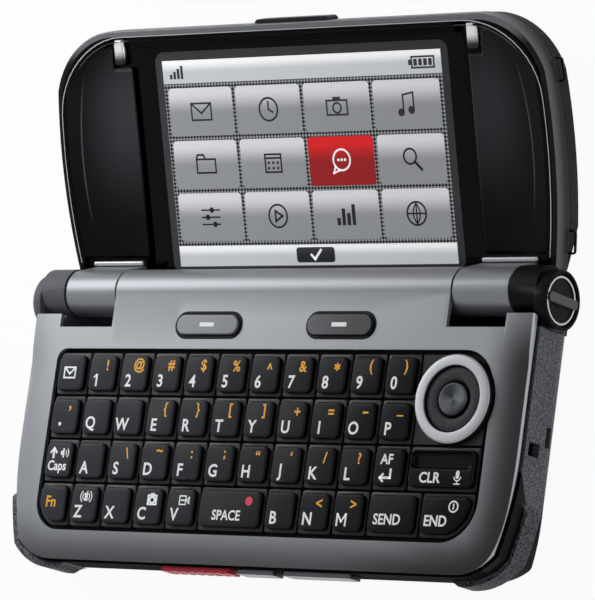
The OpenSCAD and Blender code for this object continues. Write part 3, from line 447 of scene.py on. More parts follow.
def gloss_plastic(name, tone, roughness=0.08, specular=0.06, coat=0.0):
    """Polished moulded plastic with a trace of haze and fine wipe marks."""
    f = Finish(name, specular=specular, coat_weight=coat, coat_roughness=0.05)
    haze = f.noise(9.0, 3.0)
    wipe = f.noise(0.9, 2.0, (1.0, 0.12, 0.12))
    f.surface(
        base_color=f.mix(haze, shade(tone, 0.85), shade(tone, 1.2)),
        roughness=roughness + 0.05 * haze + 0.02 * wipe,
    )
    f.bump(wipe, 0.001, 0.3)
    return f


def satin_plastic(name, tone, roughness=0.42, specular=0.15, grain=0.2):
    """Matt moulded plastic with a fine skin."""
    f = Finish(name, specular=specular)
    skin = f.noise(grain, 2.0)
    drift = f.noise(7.0, 2.0)
    f.surface(
        base_color=f.mix(drift * 0.7 + skin * 0.3, shade(tone, 0.82), shade(tone, 1.18)),
        roughness=roughness + 0.1 * (drift - 0.5) + 0.06 * (skin - 0.5),
    )
    f.bump(skin, 0.006, 0.6)
    return f


def cap_plastic(name, tone):
    """Key caps: a satin top with painted shade, black at once on the sides and slowly darker along the rows
    to the right.
    """
    f = Finish(name, specular=0.05)
    skin = f.noise(SKIN, 2.0)
    drift = f.noise(5.0, 2.0)
    x, _, z = f.millimetres()
    # Painted shade: the sides below the top turn black, and the tops darken slowly along the rows, away from
    # the light.
    shade_side_low, shade_side_high, row_shade_fall = 0.55, 0.12, 0.92
    above = f.step(z - CAP_TOP / MM, -shade_side_low, -shade_side_high)
    top = above * (1.0 - row_shade_fall * f.step(x, -40.0, 60.0))
    plain = f.mix(drift * 0.7 + skin * 0.3, shade(tone, 0.82), shade(tone, 1.18))
    f.surface(base_color=f.mix(top, shade(tone, 0.05), plain), roughness=0.34 + 0.1 * (drift - 0.5))
    f.bump(skin, 0.006, 0.6)
    return f


def tile_plastic(name, tone):
    """Tiles below the key caps: satin, with painted shade that makes them slowly darker along the rows."""
    f = Finish(name, specular=0.14)
    skin = f.noise(SKIN, 2.0)
    x, _, _ = f.millimetres()
    # Painted shade: the tiles darken to the right, away from the light.
    shown = f.mix(f.step(x, -50.0, 60.0), tone, shade(tone, 0.3))
    f.surface(base_color=f.mix(skin * 0.3, shown, shade(tone, 0.4)), roughness=0.34 + 0.06 * (skin - 0.5))
    f.bump(skin, 0.006, 0.6)
    return f


def wing_paint(name, tone):
    """The lid's wings: dark satin paint with a painted reflection that is palest above their middle, painted
    shade towards the ends and a painted highlight along the crease.
    """
    f = Finish(name, specular=0.05)
    across, up, _ = f.axes(source="UV")
    # Painted reflection and shade: the floor is pale above its middle and on its inner side and dark towards
    # its ends and outer side; a painted highlight line follows the crease.
    shaded_end_tone, painted_reflection_tone, crease_highlight_tone = 0.05, 1.5, 3.2
    rise = f.step(up, 0.12, 0.66) * (1.0 - 0.7 * f.step(up, 0.7, 1.0))
    inside = 1.0 - 0.9 * f.step(across, 0.2, CREASE_UV + 0.1)
    away = f.sum("ABSOLUTE", across - CREASE_UV)
    line = (1.0 - f.step(away, 0.003, 0.016)) * f.step(up, 0.12, 0.4) * (1.0 - f.step(up, 0.62, 0.9))
    skin = f.noise(SKIN, 2.0)
    floor = f.mix(rise * inside, shade(tone, shaded_end_tone), shade(tone, painted_reflection_tone))
    shown = f.mix(line, floor, shade(tone, crease_highlight_tone))
    f.surface(base_color=shown, roughness=0.34 + 0.08 * skin)
    f.bump(skin, 0.004, 0.4)
    return f


def bare_metal(name, tone, roughness=0.25, lines=(1.0, 1.0, 1.0), depth=0.002):
    """Plain metal, with brushed lines where the noise is stretched."""
    f = Finish(name, metallic=1.0)
    brushed = f.noise(0.5, 3.0, lines)
    drift = f.noise(8.0, 2.0)
    f.surface(
        base_color=f.mix(drift * 0.5 + brushed * 0.5, shade(tone, 0.85), shade(tone, 1.12)),
        roughness=roughness + 0.12 * (brushed - 0.5) + 0.06 * (drift - 0.5),
    )
    f.bump(brushed, depth, 0.6)
    return f


def printed_ink(name, tone):
    """Printed ink: slightly uneven cover over the cap's skin, which also glows faintly as painted light."""
    # Painted light: the ink glows faintly in its own colour, though it gives no light.
    f = Finish(name, specular=0.3, roughness=0.45, emission_strength=0.3)
    cover = f.noise(0.25, 2.0)
    shown = f.mix(cover, shade(tone, 0.86), shade(tone, 1.06))
    f.surface(base_color=shown, emission_color=shown)
    return f


def rim_paint(name, tone):
    """Satin paint of the lid's frame: pale knuckles, grey walls and a rim that is black down the sides."""
    f = Finish(name, metallic=0.3, specular=0.08)
    flake = f.noise(FLAKE, 1.0)
    x, up, out = f.lid_axes()
    side = f.step(f.sum("ABSOLUTE", x), RIM_SIDE, RIM_SIDE + 0.4)
    rim = f.sum("MAXIMUM", f.step(up, RIM_NEAR - 0.2, RIM_NEAR + 0.2), side)
    front = f.step(out, RIM_FRONT - 0.45, RIM_FRONT - 0.3)
    plain = f.mix(flake, shade(tone, 0.92), shade(tone, 1.08))
    face = f.mix(f.step(up, LID_FAR - 6.35, LID_FAR - 2.35), shade(tone, 0.03), shade(tone, 0.6))
    wall = f.mix(f.step(out, RIM_FRONT - 3.6, RIM_FRONT - 0.6), shade(tone, 0.1), shade(tone, 0.5))
    border = f.mix(front, wall, face)
    f.surface(base_color=f.mix(rim, plain, border), roughness=0.34 + 0.08 * (flake - 0.5))
    f.bump(flake, 0.004, 0.5)
    return f


def reflection_painted_metal(name, tone):
    """Bare metal with a painted reflection: pale at its far end, fading to black towards its near end."""
    f = Finish(name, metallic=0.6, specular=0.3, roughness=0.3)
    _, up, _ = f.lid_axes()
    # Painted reflection: pale towards the far end, black towards the near end.
    fade = f.step(up + 0.4 * f.noise(0.5, 2.0), INSERT_FADE, INSERT_FADE + 2.4)
    f.surface(base_color=f.mix(fade, shade(tone, 0.02), tone))
    return f


def soft_paint(name, tone):
    """The long keys' satin paint, slowly darker away from the window light."""
    f = Finish(name, metallic=0.3, specular=0.12)
    flake = f.noise(FLAKE, 1.0)
    x, _, _ = f.millimetres()
    f.surface(
        base_color=f.mix(f.step(x, -20.0, 24.0), tone, shade(tone, 0.3)),
        roughness=0.34 + 0.08 * (flake - 0.5),
    )
    f.bump(flake, 0.004, 0.5)
    return f


def ring_paint(name, tone, top):
    """The ring's silver top, with painted shade: a dark wall below its edge and silver that darkens to the
    right.
    """
    f = Finish(name, metallic=0.35, specular=0.3)
    flake = f.noise(FLAKE, 1.0)
    x, _, z = f.millimetres()
    # Painted shade: the wall below the top edge is black, and the silver darkens to the right, away from the
    # light.
    face = f.step(z - top / MM, -0.42, -0.3)
    silver = f.mix(f.step(x, 30.0, 60.0), shade(tone, 0.98), shade(tone, 0.74))
    f.surface(base_color=f.mix(face, shade(tone, 0.03), silver), roughness=0.36 + 0.08 * (flake - 0.5))
    f.bump(flake, 0.004, 0.5)
    return f


def spun_metal(name, tone, middle):
    """Metal turned on a lathe: fine rings, with a painted sheen fanning out from the middle."""
    f = Finish(name, metallic=1.0)
    x, y, _ = f.axes(shift=(-middle.x, -middle.y, 0.0))
    radius = (x * x + y * y) ** 0.5
    rings = f.sum("SINE", radius * (2 * math.pi / (0.16 * MM)))
    # Painted sheen: lighter and darker sectors round the middle, set in the colour by angle.
    angle = f.sum("ARCTAN2", y, x)
    fan = f.sum("SINE", angle * 2 + 0.5)
    grain = f.noise(0.3, 2.0)
    f.surface(
        base_color=f.mix(f.step(fan, -1.0, 1.0), shade(tone, 0.45), shade(tone, 1.25)),
        roughness=0.26 + 0.06 * rings + 0.08 * grain,
    )
    f.bump(rings, 0.004, 0.5)
    return f


def screen_gradient(name, low, high, glow):
    """A lit display tile that is lighter at its top, with a faint pixel grid."""
    f = Finish(name, specular=0.2, roughness=0.12, emission_strength=glow)
    _, up, _ = f.axes(source="UV")
    x, y, _ = f.axes(scale=(1 / (0.14 * MM),) * 3)
    dots = f.sum("FRACT", x) * f.sum("FRACT", y)
    body = f.mix(f.step(up, 0.45, 0.92), low, high)
    shown = f.mix(0.06 * dots, body, (0.0, 0.0, 0.0))
    f.surface(base_color=shown, emission_color=shown)
    return f


def screen_mesh(name, low, high, glow):
    """The display's dark backing: a woven pattern of small diamonds."""
    f = Finish(name, specular=0.2, roughness=0.12, emission_strength=glow)
    x, y, _ = f.axes(source="UV")
    one = f.sum("SINE", (x + y) * (2 * math.pi))
    two = f.sum("SINE", (x - y) * (2 * math.pi))
    shown = f.mix(f.step(one * two, -0.25, 0.45), low, high)
    f.surface(base_color=shown, emission_color=shown)
    return f


def circuit_board(name):
    """Green solder resist over a maze of tracks, with tinned pads."""
    f = Finish(name, specular=0.4, roughness=0.38)
    cells = f.node(
        "ShaderNodeTexVoronoi", {"feature": "F1", "distance": "CHEBYCHEV"},
        {"Vector": f.where(), "Scale": 1 / (1.6 * MM)}, out="Color",
    )
    tracks = f.step(f.noise(0.7, 0.0, (1.0, 0.2, 1.0)), 0.48, 0.54)
    green = f.mix(tracks, tint(16, 62, 40), tint(34, 96, 62))
    f.surface(base_color=f.mix(0.12, green, cells))
    f.bump(tracks, 0.02, 0.5)
    return f


def finish_makers():
    """Every finish by its name."""
    c = bpy.context.scene.phone_colours
    nav_low, nav_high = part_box("select_key")
    nav = (nav_low + nav_high) / 2
    return {
        "gunmetal": lambda n: face_paint(n, c.gunmetal),
        "lid_grey": lambda n: rim_paint(n, c.rim_grey),
        "shell_black": lambda n: shell_plastic(n, shade(c.shell_black, 1.5)),
        "bumper_black": lambda n: textured_plastic(n, shade(c.shell_black, 1.3), 0.45, 0.045, 0.08, 8.5),
        "seal_black": lambda n: satin_plastic(n, c.gloss_black, 0.5, 0.1),
        "frame_black": lambda n: satin_plastic(n, c.gloss_black, 0.45, 0.08),
        "bezel_black": lambda n: gloss_plastic(n, c.gloss_black, 0.1, 0.05),
        "wing_charcoal": lambda n: wing_paint(n, c.wing_grey),
        "lid_shell": lambda n: textured_plastic(n, shade(c.shell_black, 0.6), 0.4, 0.03, 0.08, 3.0),
        "loop_black": lambda n: satin_plastic(n, c.gloss_black, 0.4, 0.1),
        # Paints of the painted highlight lines along the lid's edges.
        "rim_line": lambda n: painted_metal(n, tint(200, 202, 206), 0.3, 0.3, 0.3),
        "band_line": lambda n: painted_metal(n, tint(80, 82, 86), 0.3, 0.3, 0.2),
        "key_black": lambda n: cap_plastic(n, c.cap_black),
        "key_tile": lambda n: tile_plastic(n, c.tile_grey),
        "corner_tile": lambda n: tile_plastic(n, shade(c.tile_grey, 0.8)),
        "soft_key_grey": lambda n: soft_paint(n, shade(c.gunmetal, 0.6)),
        "ring_silver": lambda n: ring_paint(n, c.ring_silver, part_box("nav_ring")[1].z),
        "pad_dark": lambda n: textured_plastic(n, tint(50, 51, 54), 0.3, 0.03, 0.15),
        "select_metal": lambda n: spun_metal(n, tint(64, 66, 70), nav),
        "push_red": lambda n: gloss_plastic(n, shade(c.crimson, 1.7), 0.3, 0.3),
        "edge_chrome": lambda n: bare_metal(n, tint(70, 72, 76), 0.25, (0.15, 1.0, 1.0)),
        "lip_grey": lambda n: satin_plastic(n, tint(34, 35, 38), 0.35, 0.12),
        "insert_grey": lambda n: reflection_painted_metal(n, tint(230, 231, 234)),
        "arm_metal": lambda n: painted_metal(n, tint(196, 198, 202), 0.4, 0.32),
        "window_glass": lambda n: gloss_plastic(n, shade(c.gloss_black, 0.8), 0.03, 0.06),
        "display": lambda n: gloss_plastic(n, tint(30, 32, 36), 0.3, 0.3),
        "cap_black": lambda n: satin_plastic(n, shade(c.shell_black, 0.3), 0.4, 0.12),
        "lock_grey": lambda n: satin_plastic(n, tint(104, 106, 110), 0.42, 0.2),
        "steel": lambda n: bare_metal(n, tint(186, 188, 190), 0.28),
        "weight_metal": lambda n: bare_metal(n, tint(120, 122, 126), 0.4),
        "contact_metal": lambda n: bare_metal(n, tint(214, 178, 96), 0.24, (1.0, 0.2, 1.0)),
        "board_green": circuit_board,
        "dome_film": lambda n: satin_plastic(n, tint(196, 198, 190), 0.5, 0.3),
        "battery_grey": lambda n: satin_plastic(n, tint(64, 66, 70), 0.5, 0.3),
        "capsule_black": lambda n: satin_plastic(n, tint(24, 24, 26), 0.5, 0.2),
        "white_ink": lambda n: printed_ink(n, c.white_ink),
        "orange_ink": lambda n: printed_ink(n, c.orange_ink),
        "red_ink": lambda n: printed_ink(n, c.red_ink),
        "mask_grey": lambda n: gloss_plastic(n, tint(76, 77, 81), 0.12, 0.1),
        "screen_back": lambda n: screen_mesh(n, tint(20, 21, 24), tint(140, 143, 148), 0.5),
        "screen_bar": lambda n: screen_gradient(n, tint(196, 199, 204), tint(250, 251, 252), 0.5),
        "screen_tile": lambda n: screen_gradient(n, shade(c.screen_silver, 0.5), tint(222, 223, 226), 0.42),
        "screen_red": lambda n: screen_gradient(n, shade(c.screen_red, 0.5), shade(c.screen_red, 1.2), 0.45),
        "screen_dark": lambda n: screen_gradient(n, tint(24, 26, 30), tint(50, 52, 57), 0.3),
        "screen_white": lambda n: screen_gradient(n, tint(236, 238, 240), tint(250, 250, 252), 0.55),
    }


def finish_for(name):
    """The material of that name, made the first time that it is asked for."""
    return bpy.data.materials.get(name + "_finish") or finish_makers()[name](name + "_finish").material


def make_piece(name, bm, body, finish, nodes=()):
    """Turns a bmesh into a piece of the phone that rides on a body and may stand for CAD nodes."""
    mesh = bpy.data.meshes.new(name)
    bm.to_mesh(mesh)
    bm.free()
    if not mesh.polygons:
        raise RuntimeError(name + " has no faces")
    mesh.materials.append(finish_for(finish))
    mesh.shade_smooth()
    mesh.set_sharp_from_angle(angle=SHARP)
    piece = bpy.data.objects.new(name, mesh)
    bpy.context.scene.collection.objects.link(piece)
    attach(piece, body)
    if nodes:
        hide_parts(*nodes)
    return piece


def body_of(node):
    """The body that a CAD node rides on."""
    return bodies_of(CAD[node])[0]


def cad_copy(node):
    """A merged copy of a CAD node's mesh with its flat faces joined."""
    bm = bmesh.new()
    bm.from_mesh(CAD[node].data)
    bmesh.ops.remove_doubles(bm, verts=bm.verts, dist=MERGE)
    bmesh.ops.dissolve_limit(bm, angle_limit=FLAT, verts=bm.verts, edges=bm.edges)
    return bm


def soften(piece, width, segments=3):
    """Rounds a piece's sharp edges and keeps its flats flat."""
    bevel = piece.modifiers.new("soft_edges", "BEVEL")
    bevel.width = width
    bevel.segments = segments
    bevel.limit_method = "ANGLE"
    bevel.angle_limit = SHARP
    bevel.harden_normals = True
    bevel.use_clamp_overlap = True
    bevel.miter_outer = "MITER_ARC"
    return piece


def dress(node, finish, width=0.25, segments=3):
    """A copy of a CAD node with softened edges and its finish, in the node's place."""
    piece = make_piece(node + "_skin", cad_copy(node), body_of(node), finish, [node])
    return soften(piece, width * MM, segments)


def round_edges(bm, width, segments, test):
    """Bevels the sharp outward edges that pass a test."""
    outward = [e for e in bm.edges if e.is_manifold and e.is_convex and e.calc_face_angle() > SHARP]
    bmesh.ops.bevel(
        bm, geom=[e for e in outward if test(e)], offset=width, offset_type="OFFSET", affect="EDGES",
        segments=segments, profile=0.5, material=-1, clamp_overlap=True,
    )


def level(edge, height):
    """True where both ends of an edge are at that height."""
    return all(abs(v.co.z - height) < NEAR_ENOUGH for v in edge.verts)


def trim(bm, axis, place, keep_above):
    """Keeps what is above or below a place along an axis, and gives the edges of the cut."""
    normal, spot = Vector((0, 0, 0)), Vector((0, 0, 0))
    normal[axis], spot[axis] = 1, place
    cut = bmesh.ops.bisect_plane(
        bm, geom=bm.verts[:] + bm.edges[:] + bm.faces[:], dist=MERGE, plane_co=spot, plane_no=normal,
        clear_inner=keep_above, clear_outer=not keep_above,
    )
    return [e for e in cut["geom_cut"] if isinstance(e, bmesh.types.BMEdge)]


def cut_at(bm, place, keep_above, axis=2):
    """Keeps what is above or below a place along an axis and closes the cut."""
    bmesh.ops.edgeloop_fill(bm, edges=trim(bm, axis, place, keep_above))
    bmesh.ops.recalc_face_normals(bm, faces=bm.faces)


def slice_along(bm, axis, places):
    """Cuts every face at the given places along an axis, so that it can bend there."""
    normal = [0, 0, 0]
    normal[axis] = 1
    for place in places:
        spot = [0, 0, 0]
        spot[axis] = place
        geom = bm.verts[:] + bm.edges[:] + bm.faces[:]
        bmesh.ops.bisect_plane(bm, geom=geom, dist=MERGE, plane_co=spot, plane_no=normal)


def smooth_rise(value):
    """0 to 1 with a soft start and end."""
    value = max(0.0, min(1.0, value))
    return value * value * (3 - 2 * value)


CAPITAL_SHARE = 0.73

# Flat drawing: bars, rings, discs, plates and words in the XY plane, raised to a thin solid at the end.


def bar(bm, x0, y0, x1, y1, width):
    """A flat bar between two points."""
    run = Vector((x1 - x0, y1 - y0, 0))
    turn = Matrix.Rotation(math.atan2(run.y, run.x), 4, "Z")
    spot = Matrix.Translation(((x0 + x1) / 2, (y0 + y1) / 2, 0)) @ turn
    bmesh.ops.create_grid(
        bm, x_segments=1, y_segments=1, size=0.5, matrix=spot @ Matrix.Diagonal((run.length, width, 1, 1))
    )


def strokes(bm, points, width):
    """Bars from point to point, each a little longer so that the corners close."""
    for (x0, y0), (x1, y1) in zip(points, points[1:]):
        run = math.hypot(x1 - x0, y1 - y0)
        dx, dy = (x1 - x0) / run * width / 2, (y1 - y0) / run * width / 2
        bar(bm, x0 - dx, y0 - dy, x1 + dx, y1 + dy, width)


def ring(bm, x, y, radius, width, start=0.0, sweep=360.0):
    """A flat ring or part of one."""
    turn = math.radians(start)
    ends = [
        bm.verts.new((x + r * math.cos(turn), y + r * math.sin(turn), 0))
        for r in (radius - width / 2, radius + width / 2)
    ]
    edge = bm.edges.new(ends)
    whole = sweep >= 360.0
    bmesh.ops.spin(
        bm, geom=[*ends, edge], cent=(x, y, 0), axis=(0, 0, 1), dvec=(0, 0, 0), angle=math.radians(sweep),
        steps=max(4, int(sweep / 15)), use_merge=whole, use_duplicate=False,
    )


def disc(bm, x, y, radius):
    """A flat disc."""
    spot = Matrix.Translation((x, y, 0))
    bmesh.ops.create_circle(bm, cap_ends=True, radius=radius, segments=24, matrix=spot)


def plate(bm, x0, y0, x1, y1, radius=0.0):
    """A flat plate with rounded corners."""
    spot = Matrix.Translation(((x0 + x1) / 2, (y0 + y1) / 2, 0)) @ Matrix.Diagonal((x1 - x0, y1 - y0, 1, 1))
    made = bmesh.ops.create_grid(bm, x_segments=1, y_segments=1, size=0.5, matrix=spot)
    if radius > 0.0:
        bmesh.ops.bevel(
            bm, geom=made["verts"], offset=radius, offset_type="OFFSET", affect="VERTICES", segments=4,
            profile=0.5, material=-1,
        )


def frame_plate(bm, x0, y0, x1, y1, width):
    """A flat outline of a plate."""
    bar(bm, x0, y0 + width / 2, x1, y0 + width / 2, width)
    bar(bm, x0, y1 - width / 2, x1, y1 - width / 2, width)
    bar(bm, x0 + width / 2, y0 + width, x0 + width / 2, y1 - width, width)
    bar(bm, x1 - width / 2, y0 + width, x1 - width / 2, y1 - width, width)


def word(bm, text, height, x, y, weight=0.03, narrow=0.92):
    """A word or sign in millimetres, with its capitals that tall and its middle at a point."""
    curve = bpy.data.curves.new("lettering", "FONT")
    curve.body = text
    curve.size = height / CAPITAL_SHARE
    curve.offset = weight
    curve.resolution_u = 3
    holder = bpy.data.objects.new("lettering", curve)
    bpy.context.scene.collection.objects.link(holder)
    graph = bpy.context.evaluated_depsgraph_get()
    mesh = bpy.data.meshes.new_from_object(holder.evaluated_get(graph))
    bpy.data.objects.remove(holder)
    bpy.data.curves.remove(curve)
    xs = [v.co.x for v in mesh.vertices]
    ys = [v.co.y for v in mesh.vertices]
    middle = Vector(((min(xs) + max(xs)) / 2, (min(ys) + max(ys)) / 2, 0))
    squeeze = Matrix.Diagonal((narrow, 1, 1, 1)) @ Matrix.Translation(-middle)
    mesh.transform(Matrix.Translation((x, y, 0)) @ squeeze)
    bm.from_mesh(mesh)
    bpy.data.meshes.remove(mesh)


def raise_flat(bm, thickness):
    """Gives a flat drawing its thickness."""
    up = bmesh.ops.extrude_face_region(bm, geom=bm.faces[:], use_keep_orig=True)
    moved = [v for v in up["geom"] if isinstance(v, bmesh.types.BMVert)]
    bmesh.ops.translate(bm, verts=moved, vec=(0, 0, thickness))
    bmesh.ops.recalc_face_normals(bm, faces=bm.faces)


def set_down(bm, height):
    """Brings a drawing made in millimetres into the frame, at a height."""
    bmesh.ops.transform(bm, matrix=Matrix.Translation((0, 0, height)) @ Matrix.Scale(MM, 4), verts=bm.verts)


def spread_uv(bm, x0, y0, x1, y1):
    """UV coordinates from 0 to 1 over a rectangle of a flat drawing."""
    uv = bm.loops.layers.uv.verify()
    for face in bm.faces:
        for loop in face.loops:
            loop[uv].uv = ((loop.vert.co.x - x0) / (x1 - x0), (loop.vert.co.y - y0) / (y1 - y0))


def turned(points, middle, steps=72):
    """A solid of revolution about an upright axis from radius and height points, first and last joined."""
    bm = bmesh.new()
    verts = [bm.verts.new((middle.x + r, middle.y, z)) for r, z in points]
    edges = [bm.edges.new((a, b)) for a, b in zip(verts, verts[1:])]
    if points[0][0] > 0:
        edges.append(bm.edges.new((verts[-1], verts[0])))
    bmesh.ops.spin(
        bm, geom=verts + edges, cent=(middle.x, middle.y, 0), axis=(0, 0, 1), dvec=(0, 0, 0),
        angle=2 * math.pi, steps=steps, use_merge=True, use_duplicate=False,
    )
    bmesh.ops.remove_doubles(bm, verts=bm.verts, dist=MERGE)
    bmesh.ops.recalc_face_normals(bm, faces=bm.faces)
    return bm


class PhoneOperator:
    """What every building step shares."""

    bl_options = {"REGISTER", "UNDO"}

    def execute(self, context):
        self.build(context.scene.phone_sizes)
        return {"FINISHED"}


def inside_plan(x, y):
    """How far a point is inside the base's walls, its wide side arcs and its front corners."""
    x = abs(x)
    wall_x, wall_y = BASE_HALF - x, y - FRONT_Y
    square = min(wall_x, wall_y)
    if wall_x < PLAN_RADIUS and wall_y < PLAN_RADIUS:
        square = PLAN_RADIUS - math.hypot(PLAN_RADIUS - wall_x, PLAN_RADIUS - wall_y)
    arc = SIDE_RADIUS - math.hypot(x - BASE_HALF + SIDE_RADIUS, min(0.0, y - DRAW_Y))
    nearer = min(square, arc)
    return nearer - BLEND * math.log(math.exp((nearer - square) / BLEND) + math.exp((nearer - arc) / BLEND))


class PHONE_OT_shell(PhoneOperator, bpy.types.Operator):
    """Builds the base shell, its bumpers, seal, covers and hinge ends"""

    bl_idname = "phone.shell"
    bl_label = "Base Shell"

    def build(self, sizes):
        width = sizes.edge_round / MM
        self.housing(sizes)
        self.bumpers()
        dress("panel_gasket", "seal_black", 0.1, 2)
        dress("battery_cover", "cap_black", width)
        dress("battery_lock", "lock_grey", 0.12, 2)
        dress("port_cover", "bumper_black", width)
        dress("key_frame", "frame_black", 0.08, 2)
        self.hinge_end()

    def housing(self, sizes):
        """The shell, with rounder ends on the hinge bosses."""
        bm = cad_copy("base_housing")
        low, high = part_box("base_housing")
        left_round, right_round, edge = 1.5 * MM, 0.35 * MM, 2 * NEAR_ENOUGH
        round_edges(bm, left_round, 5, lambda e: all(v.co.x < low.x + edge for v in e.verts))
        round_edges(bm, right_round, 3, lambda e: all(v.co.x > high.x - edge for v in e.verts))
        piece = make_piece("base_housing_skin", bm, "base", "shell_black", ["base_housing"])
        soften(piece, sizes.edge_round, 3)

    def bumpers(self):
        """The corner bumpers, drawn down to the wall at their ends."""
        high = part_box("corner_bumpers")[1]
        ramp, steps, draw, skin = 2.6 * MM, 8, 0.92, 0.3 * MM
        fuller, slimmer = 0.9 * MM, 0.5 * MM
        raised, lowered, crown = 1.2 * MM, -1.3 * MM, 1.0 * MM
        bm = cad_copy("corner_bumpers")
        near = min(abs(v.co.x) for v in bm.verts)
        places = [ramp * i / steps for i in range(1, steps + 1)]
        slice_along(bm, 1, [high.y - p for p in places])
        slice_along(bm, 0, [side * (near + p) for p in places for side in (-1, 1)])
        for v in bm.verts:
            out = -inside_plan(v.co.x, v.co.y)
            side = smooth_rise((high.y - v.co.y) / ramp)
            front = smooth_rise((abs(v.co.x) - near) / ramp)
            if v.co.z > high.z - crown:
                v.co.z += (raised if v.co.x < 0 else lowered) * side
            if out < skin:
                continue
            v.co.x -= math.copysign(out * (1 - side) * draw, v.co.x)
            v.co.y += out * (1 - front) * draw
            v.co.x -= (fuller if v.co.x < 0 else slimmer) * side
        piece = make_piece("corner_bumpers_skin", bm, "base", "bumper_black", ["corner_bumpers"])
        soften(piece, 0.35 * MM, 3)

    def hinge_end(self):
        """The sunk cap on the hinge's right end: black disc, grey coin bar and a thin light ring."""
        low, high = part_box("hinge_end_cap")
        sunk, ring_radius, ring_width, ring_rise = 0.9 * MM, 4.35 * MM, 0.4 * MM, 0.3 * MM
        face = high.x - sunk
        disc_bm = cad_copy("hinge_end_cap")
        cut_at(disc_bm, face + NEAR_ENOUGH, False, 0)
        make_piece("hinge_end_disc", disc_bm, "base", "seal_black", ["hinge_end_cap"])
        coin = cad_copy("hinge_end_cap")
        cut_at(coin, face + NEAR_ENOUGH, True, 0)
        soften(make_piece("hinge_end_coin_bar", coin, "base", "lock_grey", ["hinge_end_cap"]), 0.2 * MM)
        rim = bmesh.new()
        ring(rim, 0.0, 0.0, ring_radius, ring_width)
        raise_flat(rim, ring_rise)
        middle = Vector((face, (low.y + high.y) / 2, (low.z + high.z) / 2))
        sideways = Matrix.Translation(middle) @ Matrix.Rotation(math.pi / 2, 4, "Y")
        bmesh.ops.transform(rim, matrix=sideways, verts=rim.verts)
        soften(make_piece("hinge_end_ring", rim, "base", "steel"), 0.08 * MM, 2)


class PHONE_OT_panel(PhoneOperator, bpy.types.Operator):
    """Builds the keyboard face, rolled down gently at its edge"""

    bl_idname = "phone.panel"
    bl_label = "Keyboard Face"

    def build(self, sizes):
        low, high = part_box("base_panel")
        roll, drop, land, fade_run = sizes.panel_roll, sizes.panel_drop, 0.4 * MM, 6.0 * MM
        bm = cad_copy("base_panel")
        fine = [roll * (i / 9) ** 1.3 for i in range(1, 10)]
        span_x, span_y = high.x - low.x, FACE_BACK - low.y
        slice_along(bm, 0, [low.x + f for f in fine] + [high.x - f for f in fine])
        slice_along(bm, 0, [low.x + span_x * i / 40 for i in range(3, 38)])
        slice_along(bm, 1, [low.y + f for f in fine] + [low.y + span_y * i / 16 for i in range(3, 16)])
        for v in bm.verts:
            if abs(v.co.z - FACE_TOP) > NEAR_ENOUGH or v.co.y > FACE_BACK:
                continue
            inward = max(0.0, inside_plan(v.co.x, v.co.y) - land)
            fade = smooth_rise((FACE_BACK - v.co.y) / fade_run)
            v.co.z -= drop * fade * (1 - min(1.0, inward / roll)) ** 2
        uv = bm.loops.layers.uv.verify()
        for face in bm.faces:
            for loop in face.loops:
                loop[uv].uv = (inside_plan(loop.vert.co.x, loop.vert.co.y) / MM, 0.0)
        piece = make_piece("base_panel_skin", bm, "base", "gunmetal", ["base_panel"])
        soften(piece, sizes.edge_round, 3)


class PHONE_OT_keys(PhoneOperator, bpy.types.Operator):
    """Builds the tiles and caps of all keyboard keys"""

    bl_idname = "phone.keys"
    bl_label = "Keyboard Keys"

    def build(self, sizes):
        seam = TILE_TOP + 0.02 * MM
        for node in KEY_NODES:
            tiles = cad_copy(node)
            cut_at(tiles, seam, False)
            round_edges(tiles, sizes.tile_round, 2, lambda e: level(e, TILE_TOP))
            make_piece(node + "_tile", tiles, body_of(node), "key_tile", [node])
            caps = cad_copy(node)
            cut_at(caps, seam, True)
            round_edges(caps, sizes.cap_round, 4, lambda e: level(e, CAP_TOP))
            if node == "clear_key":
                self.dish(caps)
            make_piece(node + "_cap", caps, body_of(node), "key_black", [node])

    def dish(self, bm):
        """Presses a long rounded hollow into the clear key's cap."""
        low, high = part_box("clear_key")
        start, end = low.x + 2.0 * MM, high.x - 2.2 * MM
        middle, half, deep, steep = high.y - 2.55 * MM, 1.85 * MM, 0.95 * MM, 2.6
        fine_x, fine_y = 0.3 * MM, 0.22 * MM
        slice_along(bm, 0, [low.x + fine_x * i for i in range(1, int((high.x - low.x) / fine_x))])
        slice_along(bm, 1, [high.y - fine_y * i for i in range(1, 24)])
        for v in bm.verts:
            if v.co.z < CAP_TOP - NEAR_ENOUGH:
                continue
            along = max(start, min(end, v.co.x))
            away = math.hypot(v.co.x - along, v.co.y - middle)
            v.co.z -= deep * smooth_rise(steep * (1.0 - away / half))


KEY_ROWS = (
    ("number_keys", 1, 0, "1234567890", "!@#$%^&*()"),
    ("upper_letter_keys", 1, 1, "QWERTYUIOP", "  {}[]+=-_"),
    ("home_letter_keys", 1, 2, "ASDFGHJKL", " \\~:;\u201c\u2018/?"),
    ("lower_letter_keys", 1, 3, "ZXCV", "    "),
    ("lower_letter_keys", 7, 3, "BNM", " <>"),
)


# How far some signs stand above or below the others, in millimetres.
SIGN_LIFT = {"\u201c": 0.6, "\u2018": 0.6, "~": 0.6, "_": -0.5}


def cell(column, row, columns=1.0):
    """The middle of a key, in millimetres."""
    x, y = GRID_X + PITCH_X * (column + columns / 2), GRID_Y - PITCH_Y * (row + 0.5)
    return x / MM, y / MM


